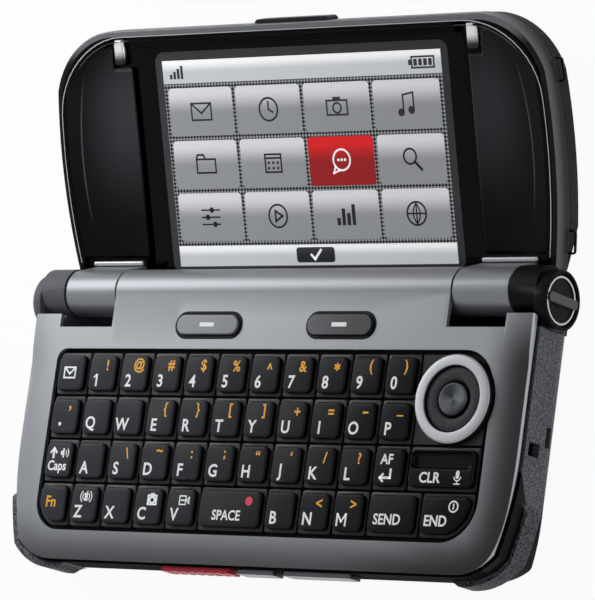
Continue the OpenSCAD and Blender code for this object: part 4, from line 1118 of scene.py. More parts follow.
class PHONE_OT_legends(PhoneOperator, bpy.types.Operator):
    """Prints the letters, numbers and signs on the keys"""

    bl_idname = "phone.legends"
    bl_label = "Key Legends"

    def build(self, sizes):
        self.sheets = {}
        self.letter_height, self.sign_height = sizes.legend_height / MM, sizes.sign_height / MM
        for node, column, row, letters, signs in KEY_ROWS:
            for i, (letter, sign) in enumerate(zip(letters, signs)):
                x, y = cell(column + i, row)
                self.first_sign(self.sheet(node, "white"), letter, x - 1.15, y - 1.45)
                if sign != " ":
                    self.second_sign(self.sheet(node, "orange"), sign, x + 1.25, y + 1.5)
        self.side_keys()
        self.wide_keys()
        self.letter_signs()
        self.home_bumps()
        for (node, ink), bm in self.sheets.items():
            raise_flat(bm, sizes.ink_rise / MM)
            set_down(bm, CAP_TOP - 0.25 * sizes.ink_rise)
            make_piece(f"{node}_{ink}_legends", bm, body_of(node), ink + "_ink")

    def sheet(self, node, ink):
        """The flat drawing of one ink on one key or row, in millimetres."""
        return self.sheets.setdefault((node, ink), bmesh.new())

    def first_sign(self, bm, letter, x, y):
        """A key's letter or number; the one and the M are drawn from bars."""
        if letter == "1":
            self.figure_one(bm, x, y, self.letter_height)
        elif letter == "M":
            self.letter_m(bm, x, y, self.letter_height)
        else:
            word(bm, letter, self.letter_height, x, y, 0.075)

    def second_sign(self, bm, sign, x, y):
        """One of the small signs at a key's upper right; the dash and the star are drawn from bars."""
        y += SIGN_LIFT.get(sign, 0.0)
        if sign == "-":
            bar(bm, x - 0.65, y, x + 0.65, y, 0.4)
        elif sign == "*":
            for turn in (30, 90, 150):
                run = Matrix.Rotation(math.radians(turn), 2) @ Vector((0.75, 0.0))
                bar(bm, x - run.x, y - run.y, x + run.x, y + run.y, 0.36)
        else:
            word(bm, sign, self.sign_height, x, y, 0.06)

    def figure_one(self, bm, x, y, height):
        """The figure one, with a flag at its top."""
        line = 0.42
        bar(bm, x, y - height / 2, x, y + height / 2, line)
        strokes(bm, [(x - 0.62, y + height / 2 - 0.62), (x - line / 2, y + height / 2 - 0.24)], 0.34)

    def letter_m(self, bm, x, y, height):
        """The letter M from four bars."""
        line, wide, rise = 0.4, 0.98, height / 2
        for side in (-1, 1):
            bar(bm, x + side * wide, y - rise, x + side * wide, y + rise, line)
            strokes(bm, [(x + side * (wide - 0.1), y + rise - 0.25), (x, y - 0.35)], 0.36)

    def side_keys(self):
        """The four keys of the left column."""
        line = 0.34
        x, y = cell(0, 0)
        bm = self.sheet("message_key", "white")
        x0, y0, x1, y1 = x - 1.75, y - 1.2, x + 1.35, y + 1.2
        frame_plate(bm, x0, y0, x1, y1, line)
        strokes(bm, [(x0 + line, y1 - line), ((x0 + x1) / 2, y - 0.25), (x1 - line, y1 - line)], line)
        x, y = cell(0, 1)
        disc(self.sheet("period_key", "white"), x - 0.9, y - 1.6, 0.36)
        word(self.sheet("period_key", "orange"), ",", 2.8, x + 1.2, y + 1.5, 0.06)
        x, y = cell(0, 2)
        bm = self.sheet("caps_key", "white")
        word(bm, "Caps", 1.95, x - 0.1, y - 1.5, 0.06, 0.88)
        bar(bm, x - 1.3, y + 0.2, x - 1.3, y + 2.0, 0.5)
        strokes(bm, [(x - 2.0, y + 1.4), (x - 1.3, y + 2.2), (x - 0.6, y + 1.4)], 0.42)
        plate(bm, x + 0.45, y + 0.9, x + 0.95, y + 1.7)
        bar(bm, x + 1.15, y + 0.4, x + 1.15, y + 2.2, 0.4)
        for radius in (0.55, 1.1):
            ring(bm, x + 1.35, y + 1.3, radius, 0.22, -48, 96)
        x, y = cell(0, 3)
        word(self.sheet("function_key", "orange"), "Fn", 2.2, x - 0.3, y + 0.35, 0.06)

    def wide_keys(self):
        """The long key, enter, clear and the two call keys."""
        line = 0.3
        x, y = cell(5, 3, 2)
        word(self.sheet("space_key", "white"), "SPACE", 1.95, x - 0.5, y - 1.3, 0.06, 0.9)
        disc(self.sheet("space_key", "red"), x + 4.6, y + 1.5, 0.85)
        x, y = cell(10, 2)
        bm = self.sheet("enter_key", "white")
        word(bm, "AF", 1.95, x - 0.45, y + 1.5, 0.06)
        strokes(bm, [(x + 0.75, y - 0.5), (x + 0.75, y - 2.0), (x - 1.5, y - 2.0)], 0.46)
        strokes(bm, [(x - 0.9, y - 1.35), (x - 1.6, y - 2.0), (x - 0.9, y - 2.65)], 0.42)
        x, y = cell(11, 2, 2)
        bm = self.sheet("clear_key", "white")
        word(bm, "CLR", 2.0, x - 2.2, y - 1.75, 0.065, 0.95)
        mic_x, mic_y = x + 4.0, y - 1.6
        plate(bm, mic_x - 0.38, mic_y - 0.3, mic_x + 0.38, mic_y + 1.25, 0.36)
        ring(bm, mic_x, mic_y + 0.1, 0.75, 0.22, 180, 180)
        bar(bm, mic_x, mic_y - 0.7, mic_x, mic_y - 1.15, 0.22)
        bar(bm, mic_x - 0.7, mic_y - 1.25, mic_x + 0.7, mic_y - 1.25, 0.24)
        x, y = cell(10, 3, 1.5)
        word(self.sheet("send_key", "white"), "SEND", 2.05, x - 0.75, y - 1.1, 0.06, 0.9)
        x, y = cell(11.5, 3, 1.5)
        bm = self.sheet("end_key", "white")
        word(bm, "END", 2.05, x - 1.7, y - 1.1, 0.065, 0.92)
        ring(bm, x + 2.0, y + 1.6, 0.98, line)
        bar(bm, x + 2.0, y + 1.05, x + 2.0, y + 2.15, line)

    def letter_signs(self):
        """Small pictures on three letter keys."""
        bm = self.sheet("lower_letter_keys", "white")
        x, y = cell(1, 3)
        x, y = x + 0.5, y + 1.45
        plate(bm, x - 0.38, y - 0.85, x + 0.38, y + 0.75, 0.12)
        bar(bm, x + 0.22, y + 0.7, x + 0.22, y + 1.15, 0.24)
        for start in (-50, 130):
            for radius in (0.85, 1.4):
                ring(bm, x, y, radius, 0.22, start, 100)
        x, y = cell(3, 3)
        x, y = x + 1.05, y + 1.25
        ring(bm, x, y - 0.08, 0.62, 0.46)
        for side in (-1, 1):
            plate(bm, x + side * 0.98 - 0.22, y - 0.95, x + side * 0.98 + 0.22, y + 0.75)
        bar(bm, x - 1.2, y + 0.8, x + 1.2, y + 0.8, 0.32)
        bar(bm, x - 1.2, y - 0.95, x + 1.2, y - 0.95, 0.3)
        bar(bm, x - 0.5, y + 1.1, x + 0.5, y + 1.1, 0.3)
        x, y = cell(4, 3)
        x, y = x + 0.7, y + 1.3
        frame_plate(bm, x - 1.0, y - 0.95, x + 0.75, y + 0.95, 0.26)
        bar(bm, x - 0.6, y, x + 0.4, y, 0.3)
        strokes(bm, [(x + 0.85, y), (x + 1.45, y + 0.6)], 0.24)
        strokes(bm, [(x + 0.85, y), (x + 1.45, y - 0.6)], 0.24)
        bar(bm, x + 1.45, y - 0.65, x + 1.45, y + 0.65, 0.22)

    def home_bumps(self):
        """The raised bars on the two home keys."""
        bm = bmesh.new()
        for column in (4, 7):
            x, y = cell(column, 2)
            plate(bm, x - 1.0, y - 3.35, x + 1.0, y - 2.95, 0.19)
        rise, sunk = 0.25, 0.05
        raise_flat(bm, rise)
        set_down(bm, CAP_TOP - sunk * MM)
        round_edges(bm, 0.1 * MM, 2, lambda e: level(e, CAP_TOP + (rise - sunk) * MM))
        make_piece("home_key_bumps", bm, body_of("home_letter_keys"), "key_black")


class PHONE_OT_navigation(PhoneOperator, bpy.types.Operator):
    """Builds the silver ring, the dark pad, the spun middle key and the corner tiles"""

    bl_idname = "phone.navigation"
    bl_label = "Navigation Keys"

    def build(self, sizes):
        low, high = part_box("nav_ring")
        middle = (low + high) / 2
        outer, inner = (high.x - low.x) / 2, 6.3 * MM
        base, top = low.z, high.z
        ring_bm = turned(
            [(inner, base), (outer, base), (outer, top - 0.3 * MM), (outer - 0.3 * MM, top),
             (inner + 0.1 * MM, top), (inner, top - 0.1 * MM)], middle, 96,
        )
        round_edges(ring_bm, 0.1 * MM, 3, lambda e: min(v.co.z for v in e.verts) > top - 0.4 * MM)
        make_piece("nav_ring_skin", ring_bm, body_of("nav_ring"), "ring_silver", ["nav_ring"])
        low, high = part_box("nav_pad")
        outer, inner, base, top = (high.x - low.x) / 2, 3.52 * MM, low.z, high.z
        pad_bm = turned(
            [(inner, base), (outer, base), (outer, top - 0.25 * MM), ((inner + outer) / 2, top),
             (inner + 0.3 * MM, top - 0.2 * MM), (inner, top - 0.5 * MM)], middle, 96,
        )
        round_edges(pad_bm, 0.15 * MM, 3, lambda e: min(v.co.z for v in e.verts) > top - 0.6 * MM)
        make_piece("nav_pad_skin", pad_bm, body_of("nav_pad"), "pad_dark", ["nav_pad"])
        low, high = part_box("select_key")
        outer, base, top = (high.x - low.x) / 2, low.z, high.z
        key_bm = turned(
            [(0, base), (outer, base), (outer, top - 0.4 * MM), (outer - 0.3 * MM, top),
             (outer * 0.55, top - 0.12 * MM), (outer * 0.2, top - 0.17 * MM), (0, top - 0.18 * MM)],
            middle, 72,
        )
        round_edges(key_bm, 0.14 * MM, 3, lambda e: min(v.co.z for v in e.verts) > top - 0.5 * MM)
        make_piece("select_key_skin", key_bm, body_of("select_key"), "select_metal", ["select_key"])
        self.corner_tiles(middle)

    def corner_tiles(self, middle):
        """Three dark tiles that fill the square round the ring."""
        left, right = GRID_X + 11 * PITCH_X + KEY_GAP / 2, GRID_X + 13 * PITCH_X - KEY_GAP / 2
        back, front = GRID_Y - KEY_GAP / 2, GRID_Y - 2 * PITCH_Y + KEY_GAP / 2
        bm = bmesh.new()
        band, band_width, rise = 11.0 * MM, 4.9 * MM, 1.0 * MM
        ring(bm, middle.x, middle.y, band, band_width)
        for axis, place, above in ((0, left, True), (0, right, False), (1, front, True), (1, back, False)):
            trim(bm, axis, place, above)
        offsets = {f: f.calc_center_median() - middle for f in bm.faces}
        spare = [f for f, off in offsets.items() if off.x > 0 and off.y > 0]
        bmesh.ops.delete(bm, geom=spare, context="FACES")
        raise_flat(bm, rise)
        bmesh.ops.translate(bm, verts=bm.verts, vec=(0, 0, TILE_TOP - rise))
        soften(make_piece("nav_corner_tiles", bm, "base", "corner_tile"), 0.14 * MM, 2)


class PHONE_OT_soft_keys(PhoneOperator, bpy.types.Operator):
    """Builds the two long keys behind the keyboard and their marks"""

    bl_idname = "phone.soft_keys"
    bl_label = "Soft Keys"

    def build(self, sizes):
        for node in ("soft_key_left", "soft_key_right"):
            dress(node, "soft_key_grey", 0.3, 4)
            low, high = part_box(node)
            x, y = (low.x + high.x) / 2, (low.y + high.y) / 2
            self.collar(node, x, y)
            mark = bmesh.new()
            plate(mark, x - 1.75 * MM, y - 0.4 * MM, x + 1.75 * MM, y + 0.4 * MM, 0.1 * MM)
            raise_flat(mark, sizes.ink_rise)
            bmesh.ops.translate(mark, verts=mark.verts, vec=(0, 0, high.z - 0.25 * sizes.ink_rise))
            make_piece(node + "_mark", mark, body_of(node), "white_ink")

    def collar(self, node, x, y):
        """A thin black ring laid on the face round a long key."""
        bm = bmesh.new()
        reach, radius, width = (SOFT_LENGTH - SOFT_WIDTH) / 2, SOFT_WIDTH / 2 + 0.45 * MM, 0.6 * MM
        rise, shown = 0.5 * MM, 0.06 * MM
        for side, start in ((1, -90.0), (-1, 90.0)):
            ring(bm, x + side * reach, y, radius, width, start, 180.0)
            bar(bm, x - reach, y + side * radius, x + reach, y + side * radius, width)
        raise_flat(bm, rise)
        bmesh.ops.translate(bm, verts=bm.verts, vec=(0, 0, FACE_TOP + shown - rise))
        make_piece(node + "_collar", bm, "base", "frame_black")


class PHONE_OT_edge_keys(PhoneOperator, bpy.types.Operator):
    """Builds the ribbed red key and the metal keys on the front edge"""

    bl_idname = "phone.edge_keys"
    bl_label = "Front Edge Keys"

    def build(self, sizes):
        dress("push_key", "push_red", 0.2)
        for node in ("camera_key", "volume_rocker"):
            dress(node, "edge_chrome", 0.2)


class PHONE_OT_lid(PhoneOperator, bpy.types.Operator):
    """Builds the lid's frame, inner face, wings, cover and small pieces"""

    bl_idname = "phone.lid"
    bl_label = "Lid"

    def build(self, sizes):
        dress("lid_chassis", "lid_grey", 0.25)
        dress("lid_bezel", "bezel_black", 0.18)
        self.cover()
        dress("thumb_lip", "lip_grey", 0.3)
        dress("notch_inserts", "insert_grey", 0.9, 5)
        dress("guard_loops", "loop_black", 0.08, 2)
        dress("outer_window", "window_glass", 0.12, 2)
        # Painted highlights: a pale line on the rim's inner edge and a faint grey one on the band below it.
        self.outline("rim_edge_line", "rim_line", 1.14, 0.16, RIM_FRONT + 0.012)
        self.outline("band_edge_line", "band_line", 2.0, 0.14, RIM_FRONT - 0.3)
        for side in (-1, 1):
            self.wing(side)
            self.ledge(side)

    def cover(self):
        """The outer shell, with a wide rounding along its outer edge."""
        bm = cad_copy("lid_cover")
        flat = LID_PLACE.inverted()
        back = min((flat @ v.co).z for v in bm.verts)
        half = max(v.co.x for v in bm.verts)
        far = max((flat @ v.co).y for v in bm.verts)

        def on_outline(edge):
            """True for a back edge that is close to the outline."""
            spots = [flat @ v.co for v in edge.verts]
            if any(s.z > back + NEAR_ENOUGH for s in spots):
                return False
            middle = (spots[0] + spots[1]) / 2
            in_x, in_y = half - abs(middle.x), far - middle.y
            inward = min(in_x, in_y)
            if in_x < COVER_TURN and in_y < COVER_TURN:
                inward = COVER_TURN - math.hypot(COVER_TURN - in_x, COVER_TURN - in_y)
            return inward < COVER_REACH

        round_edges(bm, 1.2 * MM, 5, on_outline)
        soften(make_piece("lid_cover_skin", bm, "lid", "lid_shell", ["lid_cover"]), 0.2 * MM, 2)

    def outline(self, name, finish, inset, width, front):
        """A thin painted highlight line along the lid's outline, drawn in from it, open at the hinge."""
        bm = bmesh.new()
        half, near, far, slices = LID_HALF - inset, HIGHLIGHT_NEAR, LID_FAR - inset, 24
        plate(bm, -half, near, half, far)
        bmesh.ops.bevel(
            bm, geom=[v for v in bm.verts if v.co.y > LID_MIDDLE], offset=LID_TURN - inset,
            offset_type="OFFSET", affect="VERTICES", segments=12, profile=0.5, material=-1,
        )
        slice_along(bm, 1, [near + (far - near) * i / slices for i in range(1, slices)])
        for v in bm.verts:
            if abs(v.co.x) > 0.5 * half:
                v.co.x -= math.copysign((v.co.y - LID_MIDDLE) ** 2 / (2 * LID_BOW), v.co.x)
        edge = [e for e in bm.edges if e.is_boundary and max(v.co.y for v in e.verts) > near + 0.01]
        strip = bmesh.ops.extrude_edge_only(bm, edges=edge)
        fresh = [v for v in strip["geom"] if isinstance(v, bmesh.types.BMVert)]
        old = [f for f in bm.faces if f not in strip["geom"]]
        bmesh.ops.delete(bm, geom=old, context="FACES")
        for v in fresh:
            v.co.x *= 1 - width / half
            v.co.y = LID_MIDDLE + (v.co.y - LID_MIDDLE) * (1 - width / (far - LID_MIDDLE))
        bmesh.ops.recalc_face_normals(bm, faces=bm.faces)
        raise_flat(bm, HIGHLIGHT_THICK)
        spot = LID_IN_MM @ Matrix.Translation((0, 0, front - HIGHLIGHT_THICK))
        bmesh.ops.transform(bm, matrix=spot, verts=bm.verts)
        make_piece(name, bm, "lid", finish)

    def wing(self, side):
        """One dished wing: a floor with a crease where it turns up to the rim, open at the notch."""
        bm = bmesh.new()
        bmesh.ops.create_grid(bm, x_segments=48, y_segments=64, size=0.5)
        uv = bm.loops.layers.uv.verify()
        spots = {v: (v.co.x + 0.5, v.co.y + 0.5) for v in bm.verts}
        for v, (across, up) in spots.items():
            v.co = self.wing_spot(side, across, up) * MM
        for face in bm.faces:
            for loop in face.loops:
                loop[uv].uv = spots[loop.vert]
        middles = {f: f.calc_center_median() / MM for f in bm.faces}
        notch = [f for f, spot in middles.items() if abs(spot.x) < NOTCH_OUT and spot.y > NOTCH_NEAR]
        bmesh.ops.delete(bm, geom=notch, context="FACES")
        if side < 0:
            bmesh.ops.reverse_faces(bm, faces=bm.faces)
        bmesh.ops.transform(bm, matrix=LID_PLACE, verts=bm.verts)
        piece = make_piece("lid_wing_right" if side > 0 else "lid_wing_left", bm, "lid", "wing_charcoal")
        wall = piece.modifiers.new("wall", "SOLIDIFY")
        wall.thickness = 0.3 * MM
        wall.offset = -1.0

    def wing_spot(self, side, across, up):
        """A point of a wing, in millimetres, from its share of the way across and up."""
        y = WING_NEAR + up * (WING_FAR - WING_NEAR)
        bow = WING_OUT - (y - LID_MIDDLE) ** 2 / (2 * LID_BOW)
        turn = max(0.0, y - WING_TURN)
        rim = min(bow, WING_OUT - WING_RADIUS + math.sqrt(max(0.0, WING_RADIUS ** 2 - turn ** 2)))
        inner_x = WING_IN_RIGHT if side > 0 else WING_IN_LEFT
        crease = CREASE_OUT - CREASE_CURVE * (y - CREASE_MIDDLE) ** 2
        ratio = max(0.1, (crease - inner_x) / max(0.5, rim - inner_x))
        bend = (ratio ** -CREASE_BLEND + CREASE_MOST ** -CREASE_BLEND) ** (-1 / CREASE_BLEND)
        if across < CREASE_UV:
            share = across / CREASE_UV
            across = bend * share
            depth = WING_FLOOR + WING_HOLLOW * math.sin(math.pi * (0.25 + 0.75 * share))
        else:
            share = (across - CREASE_UV) / (1 - CREASE_UV)
            across = bend + (1 - bend) * share
            depth = WING_FLOOR - WING_RISE * share
        return Vector((side * (inner_x + across * (rim - inner_x)), y, -depth))

    def ledge(self, side):
        """The light strip across the arm, below a wing."""
        bm = bmesh.new()
        x, y, z = LEDGE_PLACE
        spot = LID_IN_MM @ Matrix.Translation((side * x, y, z)) @ Matrix.Diagonal((*LEDGE_SIZE, 1))
        bmesh.ops.create_cube(bm, size=1.0, matrix=spot)
        name = "arm_ledge_right" if side > 0 else "arm_ledge_left"
        soften(make_piece(name, bm, "lid", "arm_metal"), 0.3 * MM, 3)


class PHONE_OT_screen(PhoneOperator, bpy.types.Operator):
    """Builds the display window, its grey border and a plain menu of tiles"""

    bl_idname = "phone.screen"
    bl_label = "Display"

    def build(self, sizes):
        dress("display_window", "window_glass", 0.1, 2)
        self.border()
        self.menu(sizes)

    def lay(self, name, bm, finish, height):
        """Raises a flat drawing and lays it on the window, at a height above the glass in millimetres."""
        raise_flat(bm, SHEET)
        spot = LID_IN_MM @ Matrix.Translation((0, 0, WINDOW_FRONT + height))
        bmesh.ops.transform(bm, matrix=spot, verts=bm.verts)
        make_piece(name, bm, "lid", finish)

    def border(self):
        """The grey mask round the picture, with rounded corners."""
        bm = bmesh.new()
        plate(bm, SCREEN_LEFT - 1.7, SCREEN_NEAR - 1.25, SCREEN_RIGHT + 1.65, SCREEN_FAR + 1.75, 2.0)
        self.lay("display_border", bm, "mask_grey", 0.0)

    def menu(self, sizes):
        """A plain menu: light bars at the top and bottom, tiles with simple pictures and a button."""
        left, right, near, far = SCREEN_LEFT, SCREEN_RIGHT, SCREEN_NEAR, SCREEN_FAR
        bm = bmesh.new()
        plate(bm, left, near, right, far)
        spread_uv(bm, 0, 0, 1.5, 1.5)
        self.lay("display_backing", bm, "screen_back", SHEET)
        near_bar = filled_plate(left, near, right, near + NEAR_BAR)
        far_bar = filled_plate(left, far - FAR_BAR, right, far)
        self.lay("display_bars", joined([near_bar, far_bar]), "screen_bar", 2 * SHEET)
        marks, white = bmesh.new(), bmesh.new()
        self.tiles(sizes.screen_gap / MM, marks, white)
        self.status(marks, far - 2.3)
        middle = (left + right) / 2
        button = filled_plate(middle - 4.6, near + 0.55, middle + 4.6, near + 3.5, 0.6)
        self.lay("display_button", button, "screen_dark", 3 * SHEET)
        tick = [(middle - 1.0, near + 2.0), (middle - 0.2, near + 1.2), (middle + 1.3, near + 2.9)]
        strokes(white, tick, 0.5)
        for name, sheet, finish in (("marks", marks, "screen_dark"), ("white_marks", white, "screen_white")):
            spread_uv(sheet, left, near, right, far)
            self.lay("display_" + name, sheet, finish, 0.05)

    def tiles(self, gap, marks, white):
        """The tiles and their pictures, white on the chosen one."""
        pale, red = [], []
        near, far = SCREEN_NEAR + NEAR_BAR, SCREEN_FAR - FAR_BAR
        wide = (SCREEN_RIGHT - SCREEN_LEFT - gap * (TILE_COLUMNS + 1)) / TILE_COLUMNS
        high = (far - near - gap * (TILE_ROWS + 1)) / TILE_ROWS
        for number, draw in enumerate(PICTURES):
            row, column = divmod(number, TILE_COLUMNS)
            x = SCREEN_LEFT + gap + column * (wide + gap)
            y = far - (row + 1) * (high + gap)
            chosen = (column, row) == CHOSEN_TILE
            (red if chosen else pale).append(filled_plate(x, y, x + wide, y + high, 0.8))
            draw(white if chosen else marks, x + wide / 2, y + high / 2)
        self.lay("display_tiles", joined(pale), "screen_tile", 2 * SHEET)
        self.lay("display_chosen_tile", joined(red), "screen_red", 2 * SHEET)

    def status(self, marks, y):
        """The rising bars and the battery in the upper bar."""
        left, right = SCREEN_LEFT + 2.0, SCREEN_RIGHT - 7.0
        for i in range(4):
            bar(marks, left + 0.9 * i, y - 1.3, left + 0.9 * i, y - 0.4 + 0.55 * i, 0.6)
        frame_plate(marks, right, y - 1.2, right + 5.5, y + 1.2, 0.35)
        plate(marks, right - 0.6, y - 0.5, right, y + 0.5)
        for i in range(4):
            plate(marks, right + 0.6 + 1.15 * i, y - 0.65, right + 1.4 + 1.15 * i, y + 0.65)


def filled_plate(x0, y0, x1, y1, radius=0.0):
    """A flat plate by itself, with UV coordinates from 0 to 1 over it."""
    bm = bmesh.new()
    plate(bm, x0, y0, x1, y1, radius)
    spread_uv(bm, x0, y0, x1, y1)
    return bm


def joined(parts):
    """Several bmeshes as one."""
    whole = bmesh.new()
    whole.loops.layers.uv.verify()
    for part in parts:
        mesh = bpy.data.meshes.new("part")
        part.to_mesh(mesh)
        part.free()
        whole.from_mesh(mesh)
        bpy.data.meshes.remove(mesh)
    return whole


def draw_letter(bm, x, y):
    """An envelope."""
    frame_plate(bm, x - 2.6, y - 1.8, x + 2.6, y + 1.8, 0.36)
    strokes(bm, [(x - 2.4, y + 1.6), (x, y - 0.3), (x + 2.4, y + 1.6)], 0.36)


def draw_clock(bm, x, y):
    """A clock face."""
    ring(bm, x, y, 2.2, 0.4)
    strokes(bm, [(x, y + 1.4), (x, y), (x + 1.0, y - 0.6)], 0.36)


def draw_camera(bm, x, y):
    """A camera."""
    frame_plate(bm, x - 2.6, y - 1.7, x + 2.6, y + 1.4, 0.36)
    ring(bm, x, y - 0.2, 0.95, 0.36)
    bar(bm, x - 0.9, y + 1.65, x + 0.9, y + 1.65, 0.5)


def draw_note(bm, x, y):
    """Two joined notes."""
    strokes(bm, [(x - 0.9, y - 1.4), (x - 0.9, y + 1.8), (x + 1.5, y + 2.2), (x + 1.5, y - 1.0)], 0.36)
    disc(bm, x - 1.45, y - 1.5, 0.75)
    disc(bm, x + 0.95, y - 1.1, 0.75)


def draw_folder(bm, x, y):
    """A folder with a tab."""
    frame_plate(bm, x - 2.5, y - 1.8, x + 2.5, y + 1.2, 0.36)
    strokes(bm, [(x - 2.3, y + 1.2), (x - 2.0, y + 1.9), (x - 0.6, y + 1.9), (x - 0.2, y + 1.2)], 0.36)


def draw_bubble(bm, x, y):
    """A speech bubble with three dots."""
    ring(bm, x, y + 0.2, 2.0, 0.38)
    strokes(bm, [(x - 1.6, y - 1.1), (x - 2.1, y - 2.3), (x - 0.6, y - 1.8)], 0.34)
    for i in (-1, 0, 1):
        disc(bm, x + 0.8 * i, y + 0.2, 0.28)


def draw_calendar(bm, x, y):
    """A calendar sheet."""
    frame_plate(bm, x - 2.1, y - 2.0, x + 2.1, y + 1.8, 0.36)
    bar(bm, x - 2.0, y + 0.9, x + 2.0, y + 0.9, 0.36)
    for i in range(6):
        plate(bm, x - 1.35 + 1.1 * (i % 3), y - 1.3 + 1.05 * (i // 3), x - 0.85 + 1.1 * (i % 3),
              y - 0.8 + 1.05 * (i // 3))


def draw_search(bm, x, y):
    """A magnifying glass."""
    ring(bm, x - 0.4, y + 0.5, 1.45, 0.4)
    strokes(bm, [(x + 0.75, y - 0.65), (x + 2.1, y - 2.0)], 0.55)


def draw_sliders(bm, x, y):
    """Three sliders."""
    for i, knob in ((-1, 0.9), (0, -0.8), (1, 0.3)):
        bar(bm, x - 2.3, y + 1.4 * i, x + 2.3, y + 1.4 * i, 0.3)
        disc(bm, x + knob, y + 1.4 * i, 0.55)


def draw_play(bm, x, y):
    """A play sign in a ring."""
    ring(bm, x, y, 2.2, 0.38)
    strokes(bm, [(x - 0.6, y - 1.0), (x + 1.1, y), (x - 0.6, y + 1.0), (x - 0.6, y - 1.0)], 0.4)


def draw_columns(bm, x, y):
    """Four columns."""
    for i, high in enumerate((1.4, 3.2, 2.3, 4.0)):
        plate(bm, x - 2.3 + 1.2 * i, y - 2.0, x - 1.5 + 1.2 * i, y - 2.0 + high)


def draw_globe(bm, x, y):
    """A globe."""
    ring(bm, x, y, 2.2, 0.38)
    bar(bm, x - 2.1, y, x + 2.1, y, 0.3)
    bar(bm, x, y - 2.1, x, y + 2.1, 0.3)
    for side in (-1, 1):
        ring(bm, x - side * 1.9, y, 2.7, 0.28, -45 if side > 0 else 135, 90)


PICTURES = (
    draw_letter, draw_clock, draw_camera, draw_note, draw_folder, draw_calendar, draw_bubble, draw_search,
    draw_sliders, draw_play, draw_columns, draw_globe,
)


class PHONE_OT_inner(PhoneOperator, bpy.types.Operator):
    """Gives every carried-over inner solid its finish"""

    bl_idname = "phone.inner"
    bl_label = "Inner Pieces"

    def build(self, sizes):
        slots = {part["node"]: part["material_slot"] for part in frame["record"]["subparts"]}
        for name, node in CAD.items():
            if node.hide_render:
                continue
            node.data.materials.clear()
            node.data.materials.append(finish_for(slots[name]))


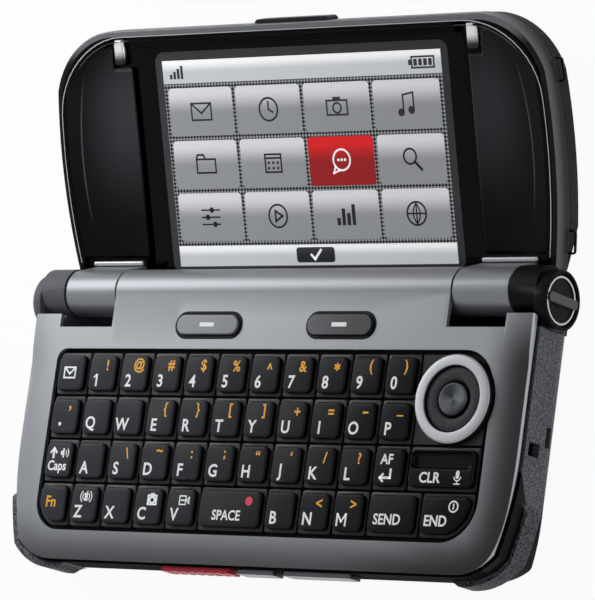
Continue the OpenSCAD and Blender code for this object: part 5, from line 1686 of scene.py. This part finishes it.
class PHONE_OT_stage(PhoneOperator, bpy.types.Operator):
    """Sets up the pale floor, the soft lights, the backdrop and the camera"""

    bl_idname = "phone.stage"
    bl_label = "Studio Stage"

    def build(self, sizes):
        self.floor()
        self.backdrop()
        for lamp in LAMPS:
            self.softbox(*lamp)
        self.camera()
        bpy.context.scene.view_settings.view_transform = "Standard"

    def softbox(self, name, spot, target, wide, high, power):
        """A soft rectangular lamp that looks at a point."""
        lamp = bpy.data.lights.new(name, "AREA")
        lamp.shape = "RECTANGLE"
        lamp.size, lamp.size_y, lamp.energy = wide, high, power
        holder = bpy.data.objects.new(name, lamp)
        holder.location = spot
        holder.rotation_euler = (Vector(target) - Vector(spot)).to_track_quat("-Z", "Y").to_euler()
        bpy.context.scene.collection.objects.link(holder)

    def floor(self):
        """A pale floor that shows the phone's soft shadow on white."""
        bm = bmesh.new()
        bmesh.ops.create_grid(bm, x_segments=1, y_segments=1, size=2.5)
        bmesh.ops.translate(bm, verts=bm.verts, vec=(0, 0, -0.05 * MM))
        mesh = bpy.data.meshes.new("studio_floor")
        bm.to_mesh(mesh)
        bm.free()
        f = Finish("pale_floor", base_color=(0.86, 0.86, 0.86), roughness=0.9, specular=0.0)
        path = [f.node("ShaderNodeLightPath", out=ray) for ray in RAYS]
        seen = f.sum("MAXIMUM", path[0], path[1] + path[2])
        glow = f.node("ShaderNodeEmission", {}, {"Color": WHITE, "Strength": 1.0})
        plain = Amount(f, f.shader.outputs[0])
        both = f.node("ShaderNodeMixShader", {}, {0: seen * FLOOR_SEEN, 1: plain, 2: glow})
        f.links.new(both.socket, f.output.inputs[0])
        mesh.materials.append(f.material)
        floor = bpy.data.objects.new("studio_floor", mesh)
        bpy.context.scene.collection.objects.link(floor)

    def backdrop(self):
        """A white surround for what is seen directly or in gloss, and a softer one for the light it gives."""
        world = bpy.data.worlds.new("studio_surround")
        bpy.context.scene.world = world
        world.use_nodes = True
        tree = world.node_tree
        tree.nodes.clear()
        path = tree.nodes.new("ShaderNodeLightPath")
        seen = path.outputs["Is Camera Ray"]
        for ray in RAYS[1:]:
            either = tree.nodes.new("ShaderNodeMath")
            either.operation = "MAXIMUM"
            tree.links.new(seen, either.inputs[0])
            tree.links.new(path.outputs[ray], either.inputs[1])
            seen = either.outputs[0]
        mixed = tree.nodes.new("ShaderNodeMixShader")
        tree.links.new(seen, mixed.inputs[0])
        for i, strength in ((1, SURROUND_LIGHT), (2, SURROUND_SEEN)):
            light = tree.nodes.new("ShaderNodeBackground")
            light.inputs["Color"].default_value = (*WHITE, 1.0)
            light.inputs["Strength"].default_value = strength
            tree.links.new(light.outputs[0], mixed.inputs[i])
        output = tree.nodes.new("ShaderNodeOutputWorld")
        tree.links.new(mixed.outputs[0], output.inputs[0])

    def camera(self):
        """The camera at the photograph's place."""
        data = bpy.data.cameras.new("studio_camera")
        data.sensor_width = 36.0
        data.lens = CAMERA_LENS
        data.clip_start, data.clip_end = 0.01, 20.0
        camera = bpy.data.objects.new("studio_camera", data)
        columns = (CAMERA_RIGHT, CAMERA_UP, CAMERA_BACK)
        turn = Matrix([[column[i] for column in columns] for i in range(3)]).to_4x4()
        camera.matrix_world = Matrix.Translation(CAMERA_SPOT) @ turn
        bpy.context.scene.collection.objects.link(camera)
        bpy.context.scene.camera = camera


STEPS = (
    PHONE_OT_shell, PHONE_OT_panel, PHONE_OT_keys, PHONE_OT_legends, PHONE_OT_navigation, PHONE_OT_soft_keys,
    PHONE_OT_edge_keys, PHONE_OT_lid, PHONE_OT_screen, PHONE_OT_inner, PHONE_OT_stage,
)


class PHONE_PT_steps(bpy.types.Panel):
    """Lists the building steps and the values that they use"""

    bl_label = "Flip Phone"
    bl_idname = "PHONE_PT_steps"
    bl_space_type = "VIEW_3D"
    bl_region_type = "UI"
    bl_category = "Flip Phone"

    def draw(self, context):
        column = self.layout.column()
        for step in STEPS:
            column.operator(step.bl_idname)
        for values in (context.scene.phone_sizes, context.scene.phone_colours):
            for key in values.bl_rna.properties.keys():
                if key not in {"rna_type", "name"}:
                    column.prop(values, key)


CLASSES = (PhoneSizes, PhoneColours, *STEPS, PHONE_PT_steps)


def register():
    """Adds the phone's values, steps and panel to Blender."""
    for kind in CLASSES:
        bpy.utils.register_class(kind)
    bpy.types.Scene.phone_sizes = PointerProperty(type=PhoneSizes)
    bpy.types.Scene.phone_colours = PointerProperty(type=PhoneColours)


def unregister():
    """Takes them out again."""
    del bpy.types.Scene.phone_colours
    del bpy.types.Scene.phone_sizes
    for kind in reversed(CLASSES):
        bpy.utils.unregister_class(kind)


def main():
    """Builds everything in order."""
    register()
    for step in STEPS:
        group, name = step.bl_idname.split(".")
        getattr(getattr(bpy.ops, group), name)()


if __name__ == "__main__":
    main()
